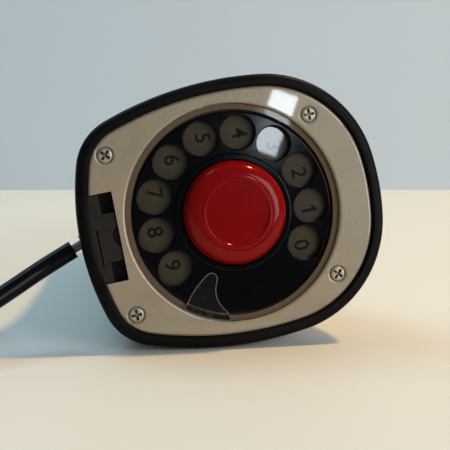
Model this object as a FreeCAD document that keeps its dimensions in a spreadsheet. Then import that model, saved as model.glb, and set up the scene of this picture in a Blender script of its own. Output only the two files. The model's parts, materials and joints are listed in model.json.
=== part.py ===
import FreeCAD, Part
import math
import os
import Sketcher
from types import SimpleNamespace
from FreeCAD import Placement, Rotation, Vector
from fcgear import involute
from fcgear.fcgear import FCWireBuilder

# One-piece telephone lying on its left side. The pieces are built standing on the foot ring, with the
# origin on the dial's axis at the foot, X to the front, Y to the left and Z up, in millimetres and
# degrees. One common placement then lays the telephone on its side, with Z up from the surface.

SIZES = {
    # outline of the base
    "side_band": 4.35,
    "front_band": 11.6,
    "rear_band": 12,
    "widest_x": 3.7,
    "rear_radius": 93,
    "corner_radius": 19.4,
    "flank_radius": 124,
    "shoulder_radius": 40,
    "front_radius": 82,
    # foot ring
    "ring_width": 4,
    "ring_height": 7,
    "ring_ledge": 1.3,
    "ring_outer_round": 2.2,
    "ring_inner_round": 0.6,
    # base plate
    "plate_gap": 0.1,
    "plate_recess": 1.2,
    "plate_thickness": 3,
    "plate_round": 1.2,
    "well_round": 0.9,
    "skirt_wall": 1.2,
    "notch_width": 31,
    "notch_band": 2.5,
    # plate screws
    "screw_radius": 1.4,
    "screw_length": 11,
    "screw_head_radius": 2.6,
    "screw_head_height": 1.3,
    "screw_head_round": 0.8,
    "screw_head_sink": 1.0,
    "screw_dimple_gap": 0.3,
    "screw_dimple_round": 0.7,
    "cross_length": 3.9,
    "cross_width": 0.95,
    "cross_depth": 1.0,
    "cross_turn": 45,
    "screw_hole_gap": 0.2,
    "front_screw_band": 6.17,
    "rear_screw_band": 4.3,
    "front_screw_angle": 49.8,
    "rear_screw_angle": 140.9,
    "boss_radius": 2.7,
    # terminal block in the notch
    "block_gap": 0.3,
    "block_depth": 5.8,
    "block_recess": 1.0,
    "block_height": 15,
    "block_notch": 4.5,
    "block_notch_width": 6.9,
    "block_notch_depth": 5,
    "block_slit": 0.5,
    "block_slit_back": 1.05,
    "block_slit_width": 12.8,
    "block_slit_y": 3,
    "block_slit_depth": 3,
    "block_eye_radius": 4,
    "block_eye_bite": 2.2,
    "block_eye_depth": 1.4,
    # finger wheel and its stop
    "button_radius": 18.1,
    "button_gap": 0.6,
    "cup_wall": 2.1,
    "hole_inner_margin": 1.25,
    "hole_radius": 6.05,
    "hole_outer_land": 0.15,
    "hole_count": 10,
    "hole_step": 27.4,
    "first_hole_angle": -33.7,
    "hole_round": 0.45,
    "wheel_thickness": 2.4,
    "wheel_round": 0.6,
    "lip_height": 1.3,
    "lip_round": 0.7,
    "cup_floor": 1.5,
    "stop_gap": 0.7,
    "stop_wall": 1.9,
    "stop_fit": 0.15,
    "fin_recess": 0.4,
    "fin_thickness": 1.2,
    "fin_gap": 0.4,
    "fin_reach": 22.4,
    "fin_tip_angle": 120.2,
    "fin_tip_radius": 2.2,
    "fin_tip_ease": 23,
    "fin_back_angle": 128.6,
    "fin_front_angle": 102.8,
    "fin_knee_radius": 34.2,
    "fin_knee_angle": 106.1,
    "fin_knee_bulge": 0.35,
    "fin_hollow": 1.65,
    "fin_bulge": 0.75,
    "number_gap": 0.8,
    "number_thickness": 1.2,
    "number_bore_gap": 0.8,
    # hook button, its stem and spring
    "button_proud": 4.5,
    "button_height": 9.7,
    "button_wall": 2.4,
    "button_face": 3.2,
    "button_shoulder": 5.3,
    "dish_radius": 10.8,
    "dish_depth": 0.55,
    "bead_width": 1.7,
    "bead_slope": 0.5,
    "bead_step": 0.35,
    "bead_round": 0.35,
    "button_travel": 5,
    "button_floor_gap": 0.4,
    "stem_radius": 3.4,
    "stem_gap": 0.6,
    "tip_radius": 1.2,
    "tip_length": 2,
    "collar_radius": 6.4,
    "collar_thickness": 1.2,
    "collar_gap": 0.4,
    "stem_spring_length": 11,
    "stem_spring_wire": 0.9,
    "stem_spring_turns": 5,
    # dial mechanism
    "run_gap": 0.05,
    "frame_sheet": 1.4,
    "frame_rim_gap": 2.7,
    "spring_room": 3.2,
    "spring_height": 2,
    "spring_strip": 0.5,
    "spring_start_gap": 1,
    "spring_pitch": 2.2,
    "spring_turns": 4,
    "bush_radius": 9,
    "bush_length": 6.1,
    "bush_stub": 1.2,
    "shaft_wall": 2,
    "shaft_end": 1.2,
    "gear_gap": 0.6,
    "gear_thickness": 2.5,
    "gear_module": 1,
    "main_teeth": 45,
    "pinion_teeth": 14,
    "backlash": 0.12,
    "gear_web_gap": 1.4,
    "idler_angle": 200,
    "idler_radius": 1.5,
    "train_module": 0.6,
    "idler_teeth": 36,
    "governor_teeth": 12,
    "train_thickness": 1.5,
    "governor_angle": 101.6,
    "governor_radius": 1.2,
    "cam_gap": 1.2,
    "cam_thickness": 2,
    "cam_half": 4.2,
    "cam_corner": 2.4,
    "drum_gap": 1.6,
    "drum_radius": 9.2,
    "drum_wall": 1.2,
    "drum_bore_gap": 0.2,
    "arm_length": 11.2,
    "arm_width": 3.4,
    "arm_thickness": 1.2,
    "weight_radius": 1.7,
    "weight_height": 2.6,
    # bridge over the dial mechanism and what stands on it
    "bridge_radius": 34,
    "bridge_sheet": 1.6,
    "bridge_front": 23,
    "post_radius": 2.2,
    "bridge_post_circle": 30.5,
    "bridge_post_start": 50,
    "bridge_post_shift": 20,
    "lever_gap": 0.4,
    "lever_thickness": 3,
    "lever_width": 6,
    "lever_pivot_x": 11.5,
    "lever_pin_radius": 0.9,
    "lever_reach": 21,
    "lever_heel": 2.6,
    "bracket_sheet": 1.2,
    "bracket_gap": 0.4,
    "bracket_length": 5,
    "bracket_ear": 2.6,
    "hook_contact_x": -18,
    "contact_length": 8,
    "contact_width": 10,
    "contact_height": 11,
    "pulse_contact_reach": 11,
    "pulse_contact_angle": 290,
    "pulse_contact_side": 5,
    # network board
    "board_x": -10,
    "board_lift": 17.5,
    "board_length": 46,
    "board_width": 44,
    "board_sheet": 1.6,
    "board_post_inset": 6,
    "board_post_radius": 1.8,
    "coil_inset": 11,
    "coil_y": -12,
    "core_length": 16,
    "core_width": 14,
    "core_height": 16,
    "core_limb": 3.2,
    "winding_gap": 0.4,
    "ringer_inset": 11,
    "ringer_y": 11,
    "ringer_radius": 9,
    "ringer_height": 8,
    "capacitor_inset": 9,
    "capacitor_radius": 5,
    "capacitor_length": 24,
    # transmitter
    "transmitter_x": 37.2,
    "transmitter_z": 32,
    "transmitter_tilt": 25,
    "transmitter_radius": 11,
    "transmitter_depth": 7,
    "transmitter_cup_wall": 1.2,
    "slot_count": 5,
    "slot_height": 1.8,
    "slot_step": 4.2,
    "slot_width": 22,
    "slot_bottom": 22,
    # case
    "case_inset": 0.9,
    "case_wall": 2.6,
    "skirt_top": 18,
    "skirt_inset": 2.0,
    # case at the hip
    "hip_x": -8,
    "hip_z": 50,
    "hip_lean": -6,
    "hip_depth": 43,
    "hip_width": 39,
    # case at the waist
    "waist_x": -16,
    "waist_z": 85,
    "waist_lean": -10,
    "waist_depth": 31,
    "waist_width": 30.5,
    # case at the grip
    "grip_x": -23,
    "grip_z": 120,
    "grip_lean": -8,
    "grip_depth": 21.5,
    "grip_width": 24,
    # case at the nape
    "nape_x": -24,
    "nape_z": 148,
    "nape_lean": 6,
    "nape_depth": 18.5,
    "nape_width": 22.5,
    # case at the crown
    "crown_x": -16,
    "crown_z": 173,
    "crown_lean": 35,
    "crown_depth": 20,
    "crown_width": 25,
    # case at the brow
    "brow_x": 1,
    "brow_z": 188,
    "brow_lean": 68,
    "brow_depth": 24,
    "brow_width": 28.5,
    # case at the cheek
    "cheek_x": 15,
    "cheek_z": 190.5,
    "cheek_lean": 93,
    "cheek_depth": 26,
    "cheek_width": 28.5,
    # case at the ear
    "ear_x": 25,
    "ear_z": 188.5,
    "ear_lean": 102,
    "ear_depth": 26.5,
    "ear_width": 26.5,
    # ear cap and receiver
    "cap_thickness": 4.2,
    "cap_round": 2.6,
    "cap_spigot": 4,
    "cap_fit": 0.35,
    "cap_spigot_wall": 2,
    "cap_hole_radius": 1.3,
    "cap_hole_circle": 7,
    "cap_hole_count": 6,
    "cap_dish_radius": 17,
    "cap_dish": 1.6,
    "receiver_radius": 19.5,
    "receiver_depth": 10,
    "seal_thickness": 1.5,
    "seal_width": 3,
    "lead_radius": 1,
    "lead_shift": 1,
    "lead_run": 12,
    # grommet, cord and plug
    "cord_exit_z": 13,
    "cord_exit_y": -1.5,
    "cord_exit_angle": 20,
    "sheath_radius": 1.6,
    "grommet_radius": 3.1,
    "grommet_proud": -0.4,
    "grommet_inside": 4,
    "sheath_show": 3.6,
    "sheath_start_gap": 0.6,
    "cord_diameter": 6.4,
    "coil_inner": 24,
    "coil_turns": 3.5,
    "coil_last_turn": 0.25,
    "coil_gap": 0.7,
    "coil_tail": 44,
    "cord_first_run": 12,
    "cord_last_run": 22,
    "tie_sheet": 1,
    "tie_width": 5,
    "tie_gap": 0.4,
    "plug_length": 30,
    "plug_width": 27,
    "plug_round": 3,
    "pin_radius": 2,
    "pin_length": 13,
    "pin_circle": 7.8,
    "table_gap": 0.2,
    # how it lies
    "rest_roll": 9.9,
}

# Stations of the case above its skirt. Each has the place of its middle, the lean of its section to the
# front, half its depth from front to back and half its width.
STATIONS = ("hip", "waist", "grip", "nape", "crown", "brow", "cheek", "ear")
STATION_FIELDS = ("x", "z", "lean", "depth", "width")

# Line cord from the end of its sheath to the coil, on the surface that the telephone lies on.
CORD_ROUTE = (
    (-76.5, -100.5, 22.0),
    (-92.5, -110.8, 11.2),
)
COIL_CENTRE = (-138.0, -72.0)

doc = FreeCAD.newDocument("telephone")
sheet = doc.addObject("Spreadsheet::Sheet", "sizes")
for row, (alias, number) in enumerate(SIZES.items(), start=1):
    sheet.set(f"A{row}", alias)
    sheet.set(f"B{row}", str(number))
    sheet.setAlias(f"B{row}", alias)
doc.recompute()


class Length:
    """A number together with the sheet expression that gives it."""

    def __init__(self, value, text):
        self.value = value
        self.text = text

    def __float__(self):
        return self.value

    def __neg__(self):
        return Length(-self.value, f"(-{self.text})")

    def __add__(self, other):
        other = length(other)
        return Length(self.value + other.value, f"({self.text} + {other.text})")

    def __sub__(self, other):
        other = length(other)
        return Length(self.value - other.value, f"({self.text} - {other.text})")

    def __mul__(self, other):
        other = length(other)
        return Length(self.value * other.value, f"({self.text} * {other.text})")

    def __truediv__(self, other):
        other = length(other)
        return Length(self.value / other.value, f"({self.text} / {other.text})")

    __radd__ = __add__
    __rmul__ = __mul__


def length(number):
    if isinstance(number, Length):
        return number
    return Length(float(number), repr(float(number)))


d = SimpleNamespace(**{alias: Length(float(sheet.get(alias)), f"sizes.{alias}") for alias in SIZES})

# Radii of the dial, from the button outwards
cup_radius = d.button_radius + d.button_gap
collar_radius = cup_radius + d.cup_wall
hole_circle = collar_radius + d.hole_inner_margin + d.hole_radius
wheel_radius = hole_circle + d.hole_radius + d.hole_round + d.hole_outer_land + d.wheel_round
stop_bore = wheel_radius + d.stop_gap
stop_radius = stop_bore + d.stop_wall
well_radius = stop_radius + d.stop_fit
skirt_radius = well_radius + d.skirt_wall
shaft_bore = d.stem_radius + d.stem_gap
shaft_radius = shaft_bore + d.shaft_wall

# Ends and half width of the base outline
plate_inset = d.ring_width + d.plate_gap
front_x = well_radius + d.front_band + plate_inset
rear_x = -(well_radius + d.rear_band + plate_inset)
half_width = well_radius + d.side_band + plate_inset

# Heights above the foot, in the order in which the pieces are stacked
plate_face = d.plate_recess
plate_back = plate_face + d.plate_thickness
fin_face = plate_face + d.fin_recess
fin_back = fin_face + d.fin_thickness
wheel_face = fin_back + d.fin_gap
wheel_back = wheel_face + d.wheel_thickness
number_face = wheel_back + d.number_gap
number_back = number_face + d.number_thickness
button_back = d.button_height - d.button_proud
cup_face = button_back + d.button_travel + d.button_floor_gap
cup_back = cup_face + d.cup_floor
frame_face = cup_back + d.spring_room
frame_back = frame_face + d.frame_sheet
bush_back = frame_back + d.bush_length
gear_face = bush_back + d.gear_gap
gear_back = gear_face + d.gear_thickness
shaft_back = gear_back + d.shaft_end
collar_face = shaft_back + d.collar_gap
collar_back = collar_face + d.collar_thickness
bridge_face = collar_back + d.stem_spring_length
bridge_back = bridge_face + d.bridge_sheet
train_face = gear_back + d.gear_web_gap
train_back = train_face + d.train_thickness
cam_face = train_back + d.cam_gap
cam_back = cam_face + d.cam_thickness
drum_face = cam_back + d.drum_gap
board_face = bridge_back + d.board_lift
board_back = board_face + d.board_sheet

nodes = {}


def add_node(item, label, place=Placement()):
    item.Label = label
    nodes[label] = (item, place)


def turn(axis, angle):
    return Rotation(axis, float(angle))


def at(x=0, y=0, z=0, rotation=Rotation()):
    return Placement(Vector(float(x), float(y), float(z)), rotation)


def polar(radius, angle, z=0):
    angle = math.radians(float(angle))
    return Vector(float(radius) * math.cos(angle), float(radius) * math.sin(angle), float(z))


X_AXIS = Vector(1, 0, 0)
Y_AXIS = Vector(0, 1, 0)
Z_AXIS = Vector(0, 0, 1)
QUARTER_TURN = 90


def new_body(label, place=Placement()):
    body = doc.addObject("PartDesign::Body", label)
    add_node(body, label, place)
    return body


def new_sketch(body, role, height=0):
    sketch = body.newObject("Sketcher::SketchObject", f"{body.Name}_sketch")
    plane = next(item for item in body.Origin.OriginFeatures if item.Role == role)
    sketch.AttachmentSupport = [(plane, "")]
    sketch.MapMode = "FlatFace"
    sketch.setExpression("AttachmentOffset.Base.z", length(height).text)
    return sketch


def hold(sketch, kind, geometry, point, size):
    """Holds one coordinate of a sketch point at a size."""
    if not isinstance(size, Length) and size == 0:
        axis = -2 if kind == "DistanceX" else -1
        sketch.addConstraint(Sketcher.Constraint("PointOnObject", geometry, point, axis))
        return
    size = length(size)
    index = sketch.addConstraint(Sketcher.Constraint(kind, -1, 1, geometry, point, size.value))
    sketch.setExpression(f"Constraints[{index}]", size.text)


def hold_radius(sketch, geometry, radius):
    index = sketch.addConstraint(Sketcher.Constraint("Radius", geometry, radius.value))
    sketch.setExpression(f"Constraints[{index}]", radius.text)


def polygon(sketch, corners):
    points = [Vector(float(x), float(y), 0) for x, y in corners]
    count = len(points)
    first = sketch.GeometryCount
    for i in range(count):
        sketch.addGeometry(Part.LineSegment(points[i], points[(i + 1) % count]))
    for i in range(count):
        follower = first + (i + 1) % count
        sketch.addConstraint(Sketcher.Constraint("Coincident", first + i, 2, follower, 1))
    for i, (x, y) in enumerate(corners):
        hold(sketch, "DistanceX", first + i, 1, x)
        hold(sketch, "DistanceY", first + i, 1, y)


def circle(sketch, radius, x=0, y=0):
    middle = Vector(float(x), float(y), 0)
    index = sketch.addGeometry(Part.Circle(middle, Z_AXIS, float(radius)))
    hold(sketch, "DistanceX", index, 3, x)
    hold(sketch, "DistanceY", index, 3, y)
    hold_radius(sketch, index, length(radius))


def circle_at(sketch, radius, middle):
    """A circle at a place worked out from the sheet."""
    index = sketch.addGeometry(Part.Circle(Vector(middle.x, middle.y, 0), Z_AXIS, float(radius)))
    hold_radius(sketch, index, length(radius))
    sketch.addConstraint(Sketcher.Constraint("DistanceX", -1, 1, index, 3, middle.x))
    sketch.addConstraint(Sketcher.Constraint("DistanceY", -1, 1, index, 3, middle.y))


def rectangle(sketch, x_low, x_high, y_low, y_high):
    polygon(sketch, [(x_low, y_low), (x_high, y_low), (x_high, y_high), (x_low, y_high)])


def pad(body, sketch, height):
    feature = body.newObject("PartDesign::Pad", f"{body.Name}_pad")
    feature.Profile = sketch
    feature.setExpression("Length", length(height).text)
    return feature


def cut_through(body, sketch):
    feature = body.newObject("PartDesign::Pocket", f"{body.Name}_cut")
    feature.Profile = sketch
    feature.Type = "ThroughAll"
    feature.SideType = "Symmetric"
    return feature


def cut_up(body, sketch, depth):
    """Cuts upwards from the sketch, into the piece."""
    feature = body.newObject("PartDesign::Pocket", f"{body.Name}_sink")
    feature.Profile = sketch
    feature.Reversed = True
    feature.setExpression("Length", length(depth).text)
    return feature


def repeat_round(body, feature, sketch, count, angle):
    pattern = body.newObject("PartDesign::PolarPattern", f"{body.Name}_pattern")
    pattern.Originals = [feature]
    pattern.Axis = (sketch, ["N_Axis"])
    pattern.setExpression("Angle", length(angle).text)
    pattern.setExpression("Occurrences", length(count).text)
    body.Tip = pattern
    return pattern


def round_edges(body, radius, wanted):
    """Rounds the edges of the body that the test picks."""
    doc.recompute()
    base = body.Tip
    names = [f"Edge{i}" for i, edge in enumerate(base.Shape.Edges, start=1) if wanted(edge)]
    if not names:
        raise RuntimeError(f"{body.Label} has no such edge to round")
    feature = body.newObject("PartDesign::Fillet", f"{body.Name}_round")
    feature.Base = (base, names)
    feature.setExpression("Radius", length(radius).text)
    return feature


def at_height(edge, height):
    return all(abs(vertex.Z - float(height)) < 1e-4 for vertex in edge.Vertexes)


def is_circle(edge, radius, height):
    curve = edge.Curve
    same = isinstance(curve, Part.Circle) and abs(curve.Radius - float(radius)) < 1e-4
    return same and abs(curve.Center.z - float(height)) < 1e-4


def turned(label, corners, place=Placement()):
    """A piece turned about its own Z axis, from radius and height pairs."""
    body = new_body(label, place)
    sketch = new_sketch(body, "XZ_Plane")
    polygon(sketch, corners)
    feature = body.newObject("PartDesign::Revolution", f"{label}_turn")
    feature.Profile = sketch
    feature.ReferenceAxis = (sketch, ["V_Axis"])
    feature.Angle = 360
    return body


def tube_corners(inner, outer, low, high):
    return [(inner, low), (outer, low), (outer, high), (inner, high)]


def made(label, shape, place=Placement()):
    """A sub-part whose shape is worked out from the sheet in code."""
    item = doc.addObject("Part::Feature", label)
    item.Shape = shape
    add_node(item, label, place.multiply(item.Placement))
    return item


def copies(shape, places):
    return Part.makeCompound([shape.transformed(place.toMatrix(), True) for place in places])


# Outline of the base

def meeting(centre_a, radius_a, centre_b, radius_b):
    """The left one of the two points at which two circles cross."""
    across = centre_b - centre_a
    distance = across.Length
    along = (radius_a ** 2 - radius_b ** 2 + distance ** 2) / (2 * distance)
    aside = math.sqrt(radius_a ** 2 - along ** 2)
    middle = centre_a + across * (along / distance)
    side = Vector(-across.y, across.x, 0) * (aside / distance)
    return max(middle + side, middle - side, key=lambda point: point.y)


def heading(start, end):
    return math.atan2(end.y - start.y, end.x - start.x)


def outline_arcs(inset):
    """The base outline as tangent arcs, front first and anticlockwise: centre, radius and angles."""
    inset = length(inset)
    front = Vector(float(front_x - d.front_radius), 0, 0)
    rear = Vector(float(rear_x + d.rear_radius), 0, 0)
    flank = Vector(float(d.widest_x), float(half_width - d.flank_radius), 0)
    shoulder_radius = float(d.shoulder_radius)
    corner_radius = float(d.corner_radius)
    flank_radius = float(d.flank_radius)
    shoulder = meeting(front, float(d.front_radius) - shoulder_radius, flank, flank_radius - shoulder_radius)
    corner = meeting(rear, float(d.rear_radius) - corner_radius, flank, flank_radius - corner_radius)
    turns = [heading(front, shoulder), heading(flank, shoulder), heading(flank, corner), heading(rear, corner)]
    left = [
        (shoulder, d.shoulder_radius, turns[0], turns[1]),
        (flank, d.flank_radius, turns[1], turns[2]),
        (corner, d.corner_radius, turns[2], turns[3]),
    ]
    right = [(Vector(c.x, -c.y, 0), r, -end, -start) for c, r, start, end in reversed(left)]
    arcs = [(front, d.front_radius, -turns[0], turns[0])] + left
    arcs += [(rear, d.rear_radius, turns[3], 2 * math.pi - turns[3])] + right
    return [(centre, radius - inset, start, end) for centre, radius, start, end in arcs]


def add_outline(sketch, inset):
    """Draws the base outline, set in by a distance, as arcs that stay tangent."""
    arcs = outline_arcs(inset)
    first = sketch.GeometryCount
    for centre, radius, start, end in arcs:
        sketch.addGeometry(Part.ArcOfCircle(Part.Circle(centre, Z_AXIS, radius.value), start, end))
    count = len(arcs)
    for i in range(count):
        sketch.addConstraint(Sketcher.Constraint("Tangent", first + i, 2, first + (i + 1) % count, 1))
    for i, arc in enumerate(arcs):
        hold_radius(sketch, first + i, arc[1])
    front, left_flank, rear, right_flank = (first + i for i in (0, 2, 4, 6))
    hold(sketch, "DistanceX", front, 3, front_x - d.front_radius)
    hold(sketch, "DistanceY", front, 3, 0)
    hold(sketch, "DistanceX", rear, 3, rear_x + d.rear_radius)
    hold(sketch, "DistanceY", rear, 3, 0)
    hold(sketch, "DistanceX", left_flank, 3, d.widest_x)
    hold(sketch, "DistanceY", left_flank, 3, half_width - d.flank_radius)
    hold(sketch, "DistanceX", right_flank, 3, d.widest_x)
    hold(sketch, "DistanceY", right_flank, 3, d.flank_radius - half_width)


def outline_point(inset, angle):
    """The point of the base outline whose outward normal has the angle."""
    for centre, radius, start, end in outline_arcs(inset):
        around = (angle - start) % (2 * math.pi)
        if around <= end - start:
            return centre + Vector(math.cos(angle), math.sin(angle), 0) * radius.value
    raise RuntimeError("the base outline has a gap")


# Where the four plate screws are
front_screw_heading = math.radians(float(d.front_screw_angle))
rear_screw_heading = math.radians(float(d.rear_screw_angle))
SCREW_SPOTS = (
    outline_point(plate_inset + d.front_screw_band, -front_screw_heading),
    outline_point(plate_inset + d.front_screw_band, front_screw_heading),
    outline_point(plate_inset + d.rear_screw_band, rear_screw_heading),
    outline_point(plate_inset + d.rear_screw_band, -rear_screw_heading),
)
notch_front = -(well_radius + d.notch_band)


def on_outline(edge, inset):
    """Whether an edge runs along the base outline, set in by a distance."""
    middle = edge.valueAt((edge.FirstParameter + edge.LastParameter) / 2)
    middle.z = 0
    return any(
        isinstance(edge.Curve, Part.Circle)
        and abs(edge.Curve.Radius - radius.value) < 1e-3
        and abs((middle - centre).Length - radius.value) < 1e-3
        for centre, radius, start, end in outline_arcs(inset)
    )


def base_ring():
    body = new_body("base_ring")
    wall = new_sketch(body, "XY_Plane")
    add_outline(wall, 0)
    add_outline(wall, d.ring_width)
    pad(body, wall, d.ring_height)
    ledge = new_sketch(body, "XY_Plane", plate_back)
    add_outline(ledge, d.ring_width / 2)
    add_outline(ledge, d.ring_width + d.ring_ledge)
    pad(body, ledge, d.ring_height - plate_back)
    round_edges(body, d.ring_outer_round, lambda edge: at_height(edge, 0) and on_outline(edge, 0))
    round_edges(body, d.ring_inner_round, lambda edge: at_height(edge, 0) and on_outline(edge, d.ring_width))


def base_plate():
    body = new_body("base_plate")
    sheet_sketch = new_sketch(body, "XY_Plane", plate_face)
    add_outline(sheet_sketch, plate_inset)
    pad(body, sheet_sketch, d.plate_thickness)
    skirt = new_sketch(body, "XY_Plane", plate_face)
    circle(skirt, skirt_radius)
    pad(body, skirt, number_back - plate_face)
    well = new_sketch(body, "XY_Plane")
    circle(well, well_radius)
    cut_through(body, well)
    notch = new_sketch(body, "XY_Plane")
    rectangle(notch, rear_x, notch_front, -d.notch_width / 2, d.notch_width / 2)
    cut_through(body, notch)
    holes = new_sketch(body, "XY_Plane")
    for spot in SCREW_SPOTS:
        circle_at(holes, d.screw_radius + d.screw_hole_gap, spot)
    cut_through(body, holes)
    dimple_radius = d.screw_head_radius + d.screw_dimple_gap
    dimples = new_sketch(body, "XY_Plane", plate_face)
    for spot in SCREW_SPOTS:
        circle_at(dimples, dimple_radius, spot)
    cut_up(body, dimples, d.screw_head_sink)
    round_edges(body, d.plate_round, lambda edge: at_height(edge, plate_face) and on_outline(edge, plate_inset))
    round_edges(body, d.well_round, lambda edge: is_circle(edge, well_radius, plate_face))
    round_edges(body, d.screw_dimple_round, lambda edge: is_circle(edge, dimple_radius, plate_face))


def base_screws():
    head_top = plate_face + d.screw_head_sink - d.screw_head_height
    head_back = plate_face + d.screw_head_sink
    head = Part.makeCylinder(float(d.screw_head_radius), float(d.screw_head_height), Vector(0, 0, float(head_top)))
    crown = [edge for edge in head.Edges if is_circle(edge, d.screw_head_radius, head_top)]
    head = head.makeFillet(float(d.screw_head_round), crown)
    shank = Part.makeCylinder(float(d.screw_radius), float(d.screw_length), Vector(0, 0, float(head_back)))
    screw = head.fuse(shank)
    for angle in (0, QUARTER_TURN):
        arm = Part.makeBox(float(d.cross_length), float(d.cross_width), float(d.cross_depth))
        arm.translate(Vector(-float(d.cross_length) / 2, -float(d.cross_width) / 2, float(head_top)))
        arm.rotate(Vector(0, 0, 0), Z_AXIS, angle)
        screw = screw.cut(arm)
    places = [Placement(spot, turn(Z_AXIS, d.cross_turn * index)) for index, spot in enumerate(SCREW_SPOTS)]
    made("base_screws", copies(screw, places))


def terminal_block():
    """The block that fills the plate's notch: a flange level with the plate and a body above it."""
    front = notch_front - d.block_gap
    rear = front - d.block_depth
    half = d.notch_width / 2 - d.block_gap
    low = plate_face + d.block_recess
    body = new_body("terminal_block")
    flange = new_sketch(body, "XY_Plane", low)
    add_outline(flange, plate_inset)
    pad(body, flange, plate_back - low)
    around = new_sketch(body, "XY_Plane")
    rectangle(around, front, front_x, -half_width, half_width)
    cut_through(body, around)
    sides = new_sketch(body, "XY_Plane")
    rectangle(sides, rear_x, front_x, half, half_width)
    rectangle(sides, rear_x, front_x, -half_width, -half)
    cut_through(body, sides)
    outline = new_sketch(body, "XY_Plane", plate_back)
    rectangle(outline, rear, front, -half, half)
    pad(body, outline, low + d.block_height - plate_back)
    notches = new_sketch(body, "XY_Plane", low)
    inner = half - d.block_notch_width
    rectangle(notches, front - d.block_notch, notch_front, inner, half + d.block_gap)
    rectangle(notches, front - d.block_notch, notch_front, -(half + d.block_gap), -inner)
    cut_up(body, notches, d.block_notch_depth)
    slit = new_sketch(body, "XY_Plane", low)
    near = rear - d.block_slit_back
    half_slit = d.block_slit_width / 2
    rectangle(slit, near - d.block_slit, near, d.block_slit_y - half_slit, d.block_slit_y + half_slit)
    cut_up(body, slit, d.block_slit_depth)
    eye = new_sketch(body, "XY_Plane", low)
    circle(eye, d.block_eye_radius, front - d.block_eye_bite + d.block_eye_radius)
    cut_up(body, eye, d.block_eye_depth)
    return rear


def finger_wheel():
    body = turned("finger_wheel", [
        (shaft_radius, cup_face),
        (cup_radius, cup_face),
        (cup_radius, wheel_face - d.lip_height),
        (collar_radius, wheel_face - d.lip_height),
        (collar_radius, wheel_face),
        (wheel_radius, wheel_face),
        (wheel_radius, wheel_back),
        (collar_radius, wheel_back),
        (collar_radius, cup_back),
        (shaft_radius, cup_back),
    ])
    holes = new_sketch(body, "XY_Plane")
    circle_at(holes, d.hole_radius, polar(hole_circle, -d.first_hole_angle))
    hole = cut_through(body, holes)
    pattern = repeat_round(body, hole, holes, d.hole_count, d.hole_step * (d.hole_count - 1))
    pattern.Reversed = True
    round_edges(body, d.hole_round, lambda edge: is_circle(edge, d.hole_radius, wheel_face))
    round_edges(body, d.wheel_round, lambda edge: is_circle(edge, wheel_radius, wheel_face))
    lip_face = wheel_face - d.lip_height
    round_edges(body, d.lip_round, lambda edge: is_circle(edge, collar_radius, lip_face))


def bowed(start, end, rise):
    """The arc from start to end whose middle stands off to the left of the way by a rise."""
    way = (end - start).normalize()
    middle = (start + end) * 0.5 + Vector(-way.y, way.x, 0) * float(rise)
    return Part.Arc(start, middle, end).toShape()


def finger_stop():
    """A clear ring that lines the well, and on it a fin that reaches in over the wheel."""
    low = float(fin_back)
    high = float(number_face)
    ring = Part.makeCylinder(float(stop_radius), high - low, Vector(0, 0, low))
    bore = Part.makeCylinder(float(stop_bore), high - low, Vector(0, 0, low))
    root_back = polar(stop_radius, d.fin_back_angle)
    root_middle = polar(stop_radius, (d.fin_back_angle + d.fin_front_angle) / 2)
    root_front = polar(stop_radius, d.fin_front_angle)
    knee = polar(d.fin_knee_radius, d.fin_knee_angle)
    tip = polar(d.fin_reach + d.fin_tip_radius, d.fin_tip_angle)
    tip_back = tip + polar(d.fin_tip_radius, d.fin_tip_angle + QUARTER_TURN + d.fin_tip_ease)
    tip_end = tip - polar(d.fin_tip_radius, d.fin_tip_angle)
    tip_front = tip + polar(d.fin_tip_radius, d.fin_tip_angle - QUARTER_TURN)
    edges = [
        bowed(root_back, tip_back, -d.fin_bulge),
        Part.Arc(tip_back, tip_end, tip_front).toShape(),
        bowed(tip_front, knee, d.fin_hollow),
        bowed(knee, root_front, -d.fin_knee_bulge),
        Part.Arc(root_front, root_middle, root_back).toShape(),
    ]
    fin = Part.Face(Part.Wire(edges)).extrude(Vector(0, 0, float(d.fin_thickness)))
    fin.translate(Vector(0, 0, float(fin_face)))
    made("finger_stop", ring.cut(bore).fuse(fin).removeSplitter())


def number_plate():
    inner = collar_radius + d.number_bore_gap
    turned("number_plate", tube_corners(inner, stop_radius, number_face, number_back))


def hook_button():
    top = -d.button_proud
    dish = top + d.dish_depth
    bead_radius = d.dish_radius + d.bead_width
    shoulder = top + d.bead_step
    inside = top + d.button_face
    body = turned("hook_button", [
        (0, dish),
        (d.dish_radius, dish),
        (d.dish_radius + d.bead_slope, top),
        (bead_radius - d.bead_slope, top),
        (bead_radius, shoulder),
        (d.button_radius, shoulder),
        (d.button_radius, button_back),
        (d.button_radius - d.button_wall, button_back),
        (d.button_radius - d.button_wall, inside),
        (0, inside),
    ])
    round_edges(body, d.button_shoulder, lambda edge: is_circle(edge, d.button_radius, shoulder))
    round_edges(body, d.bead_round, lambda edge: at_height(edge, top) and isinstance(edge.Curve, Part.Circle))
    tip_base = bridge_back + d.collar_gap
    turned("button_stem", [
        (0, inside),
        (d.stem_radius, inside),
        (d.stem_radius, tip_base),
        (d.tip_radius, tip_base),
        (d.tip_radius, tip_base + d.tip_length),
        (0, tip_base + d.tip_length),
    ])
    turned("stem_collar", tube_corners(d.stem_radius, d.collar_radius, collar_face, collar_back))
    return tip_base + d.tip_length


# Wound and bent tubes

def arc_between(start, corner, end):
    """The arc that leaves start towards the corner and reaches end coming from it."""
    middle = (start + end) * 0.5
    half_chord = (end - start).Length / 2
    rise = (corner - middle).Length
    if rise < 1e-7:
        return Part.LineSegment(start, end).toShape()
    half_turn = math.atan2(rise, half_chord)
    crown = middle + (corner - middle) * (half_chord * math.tan(half_turn / 2) / rise)
    return Part.Arc(start, crown, end).toShape()


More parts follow.
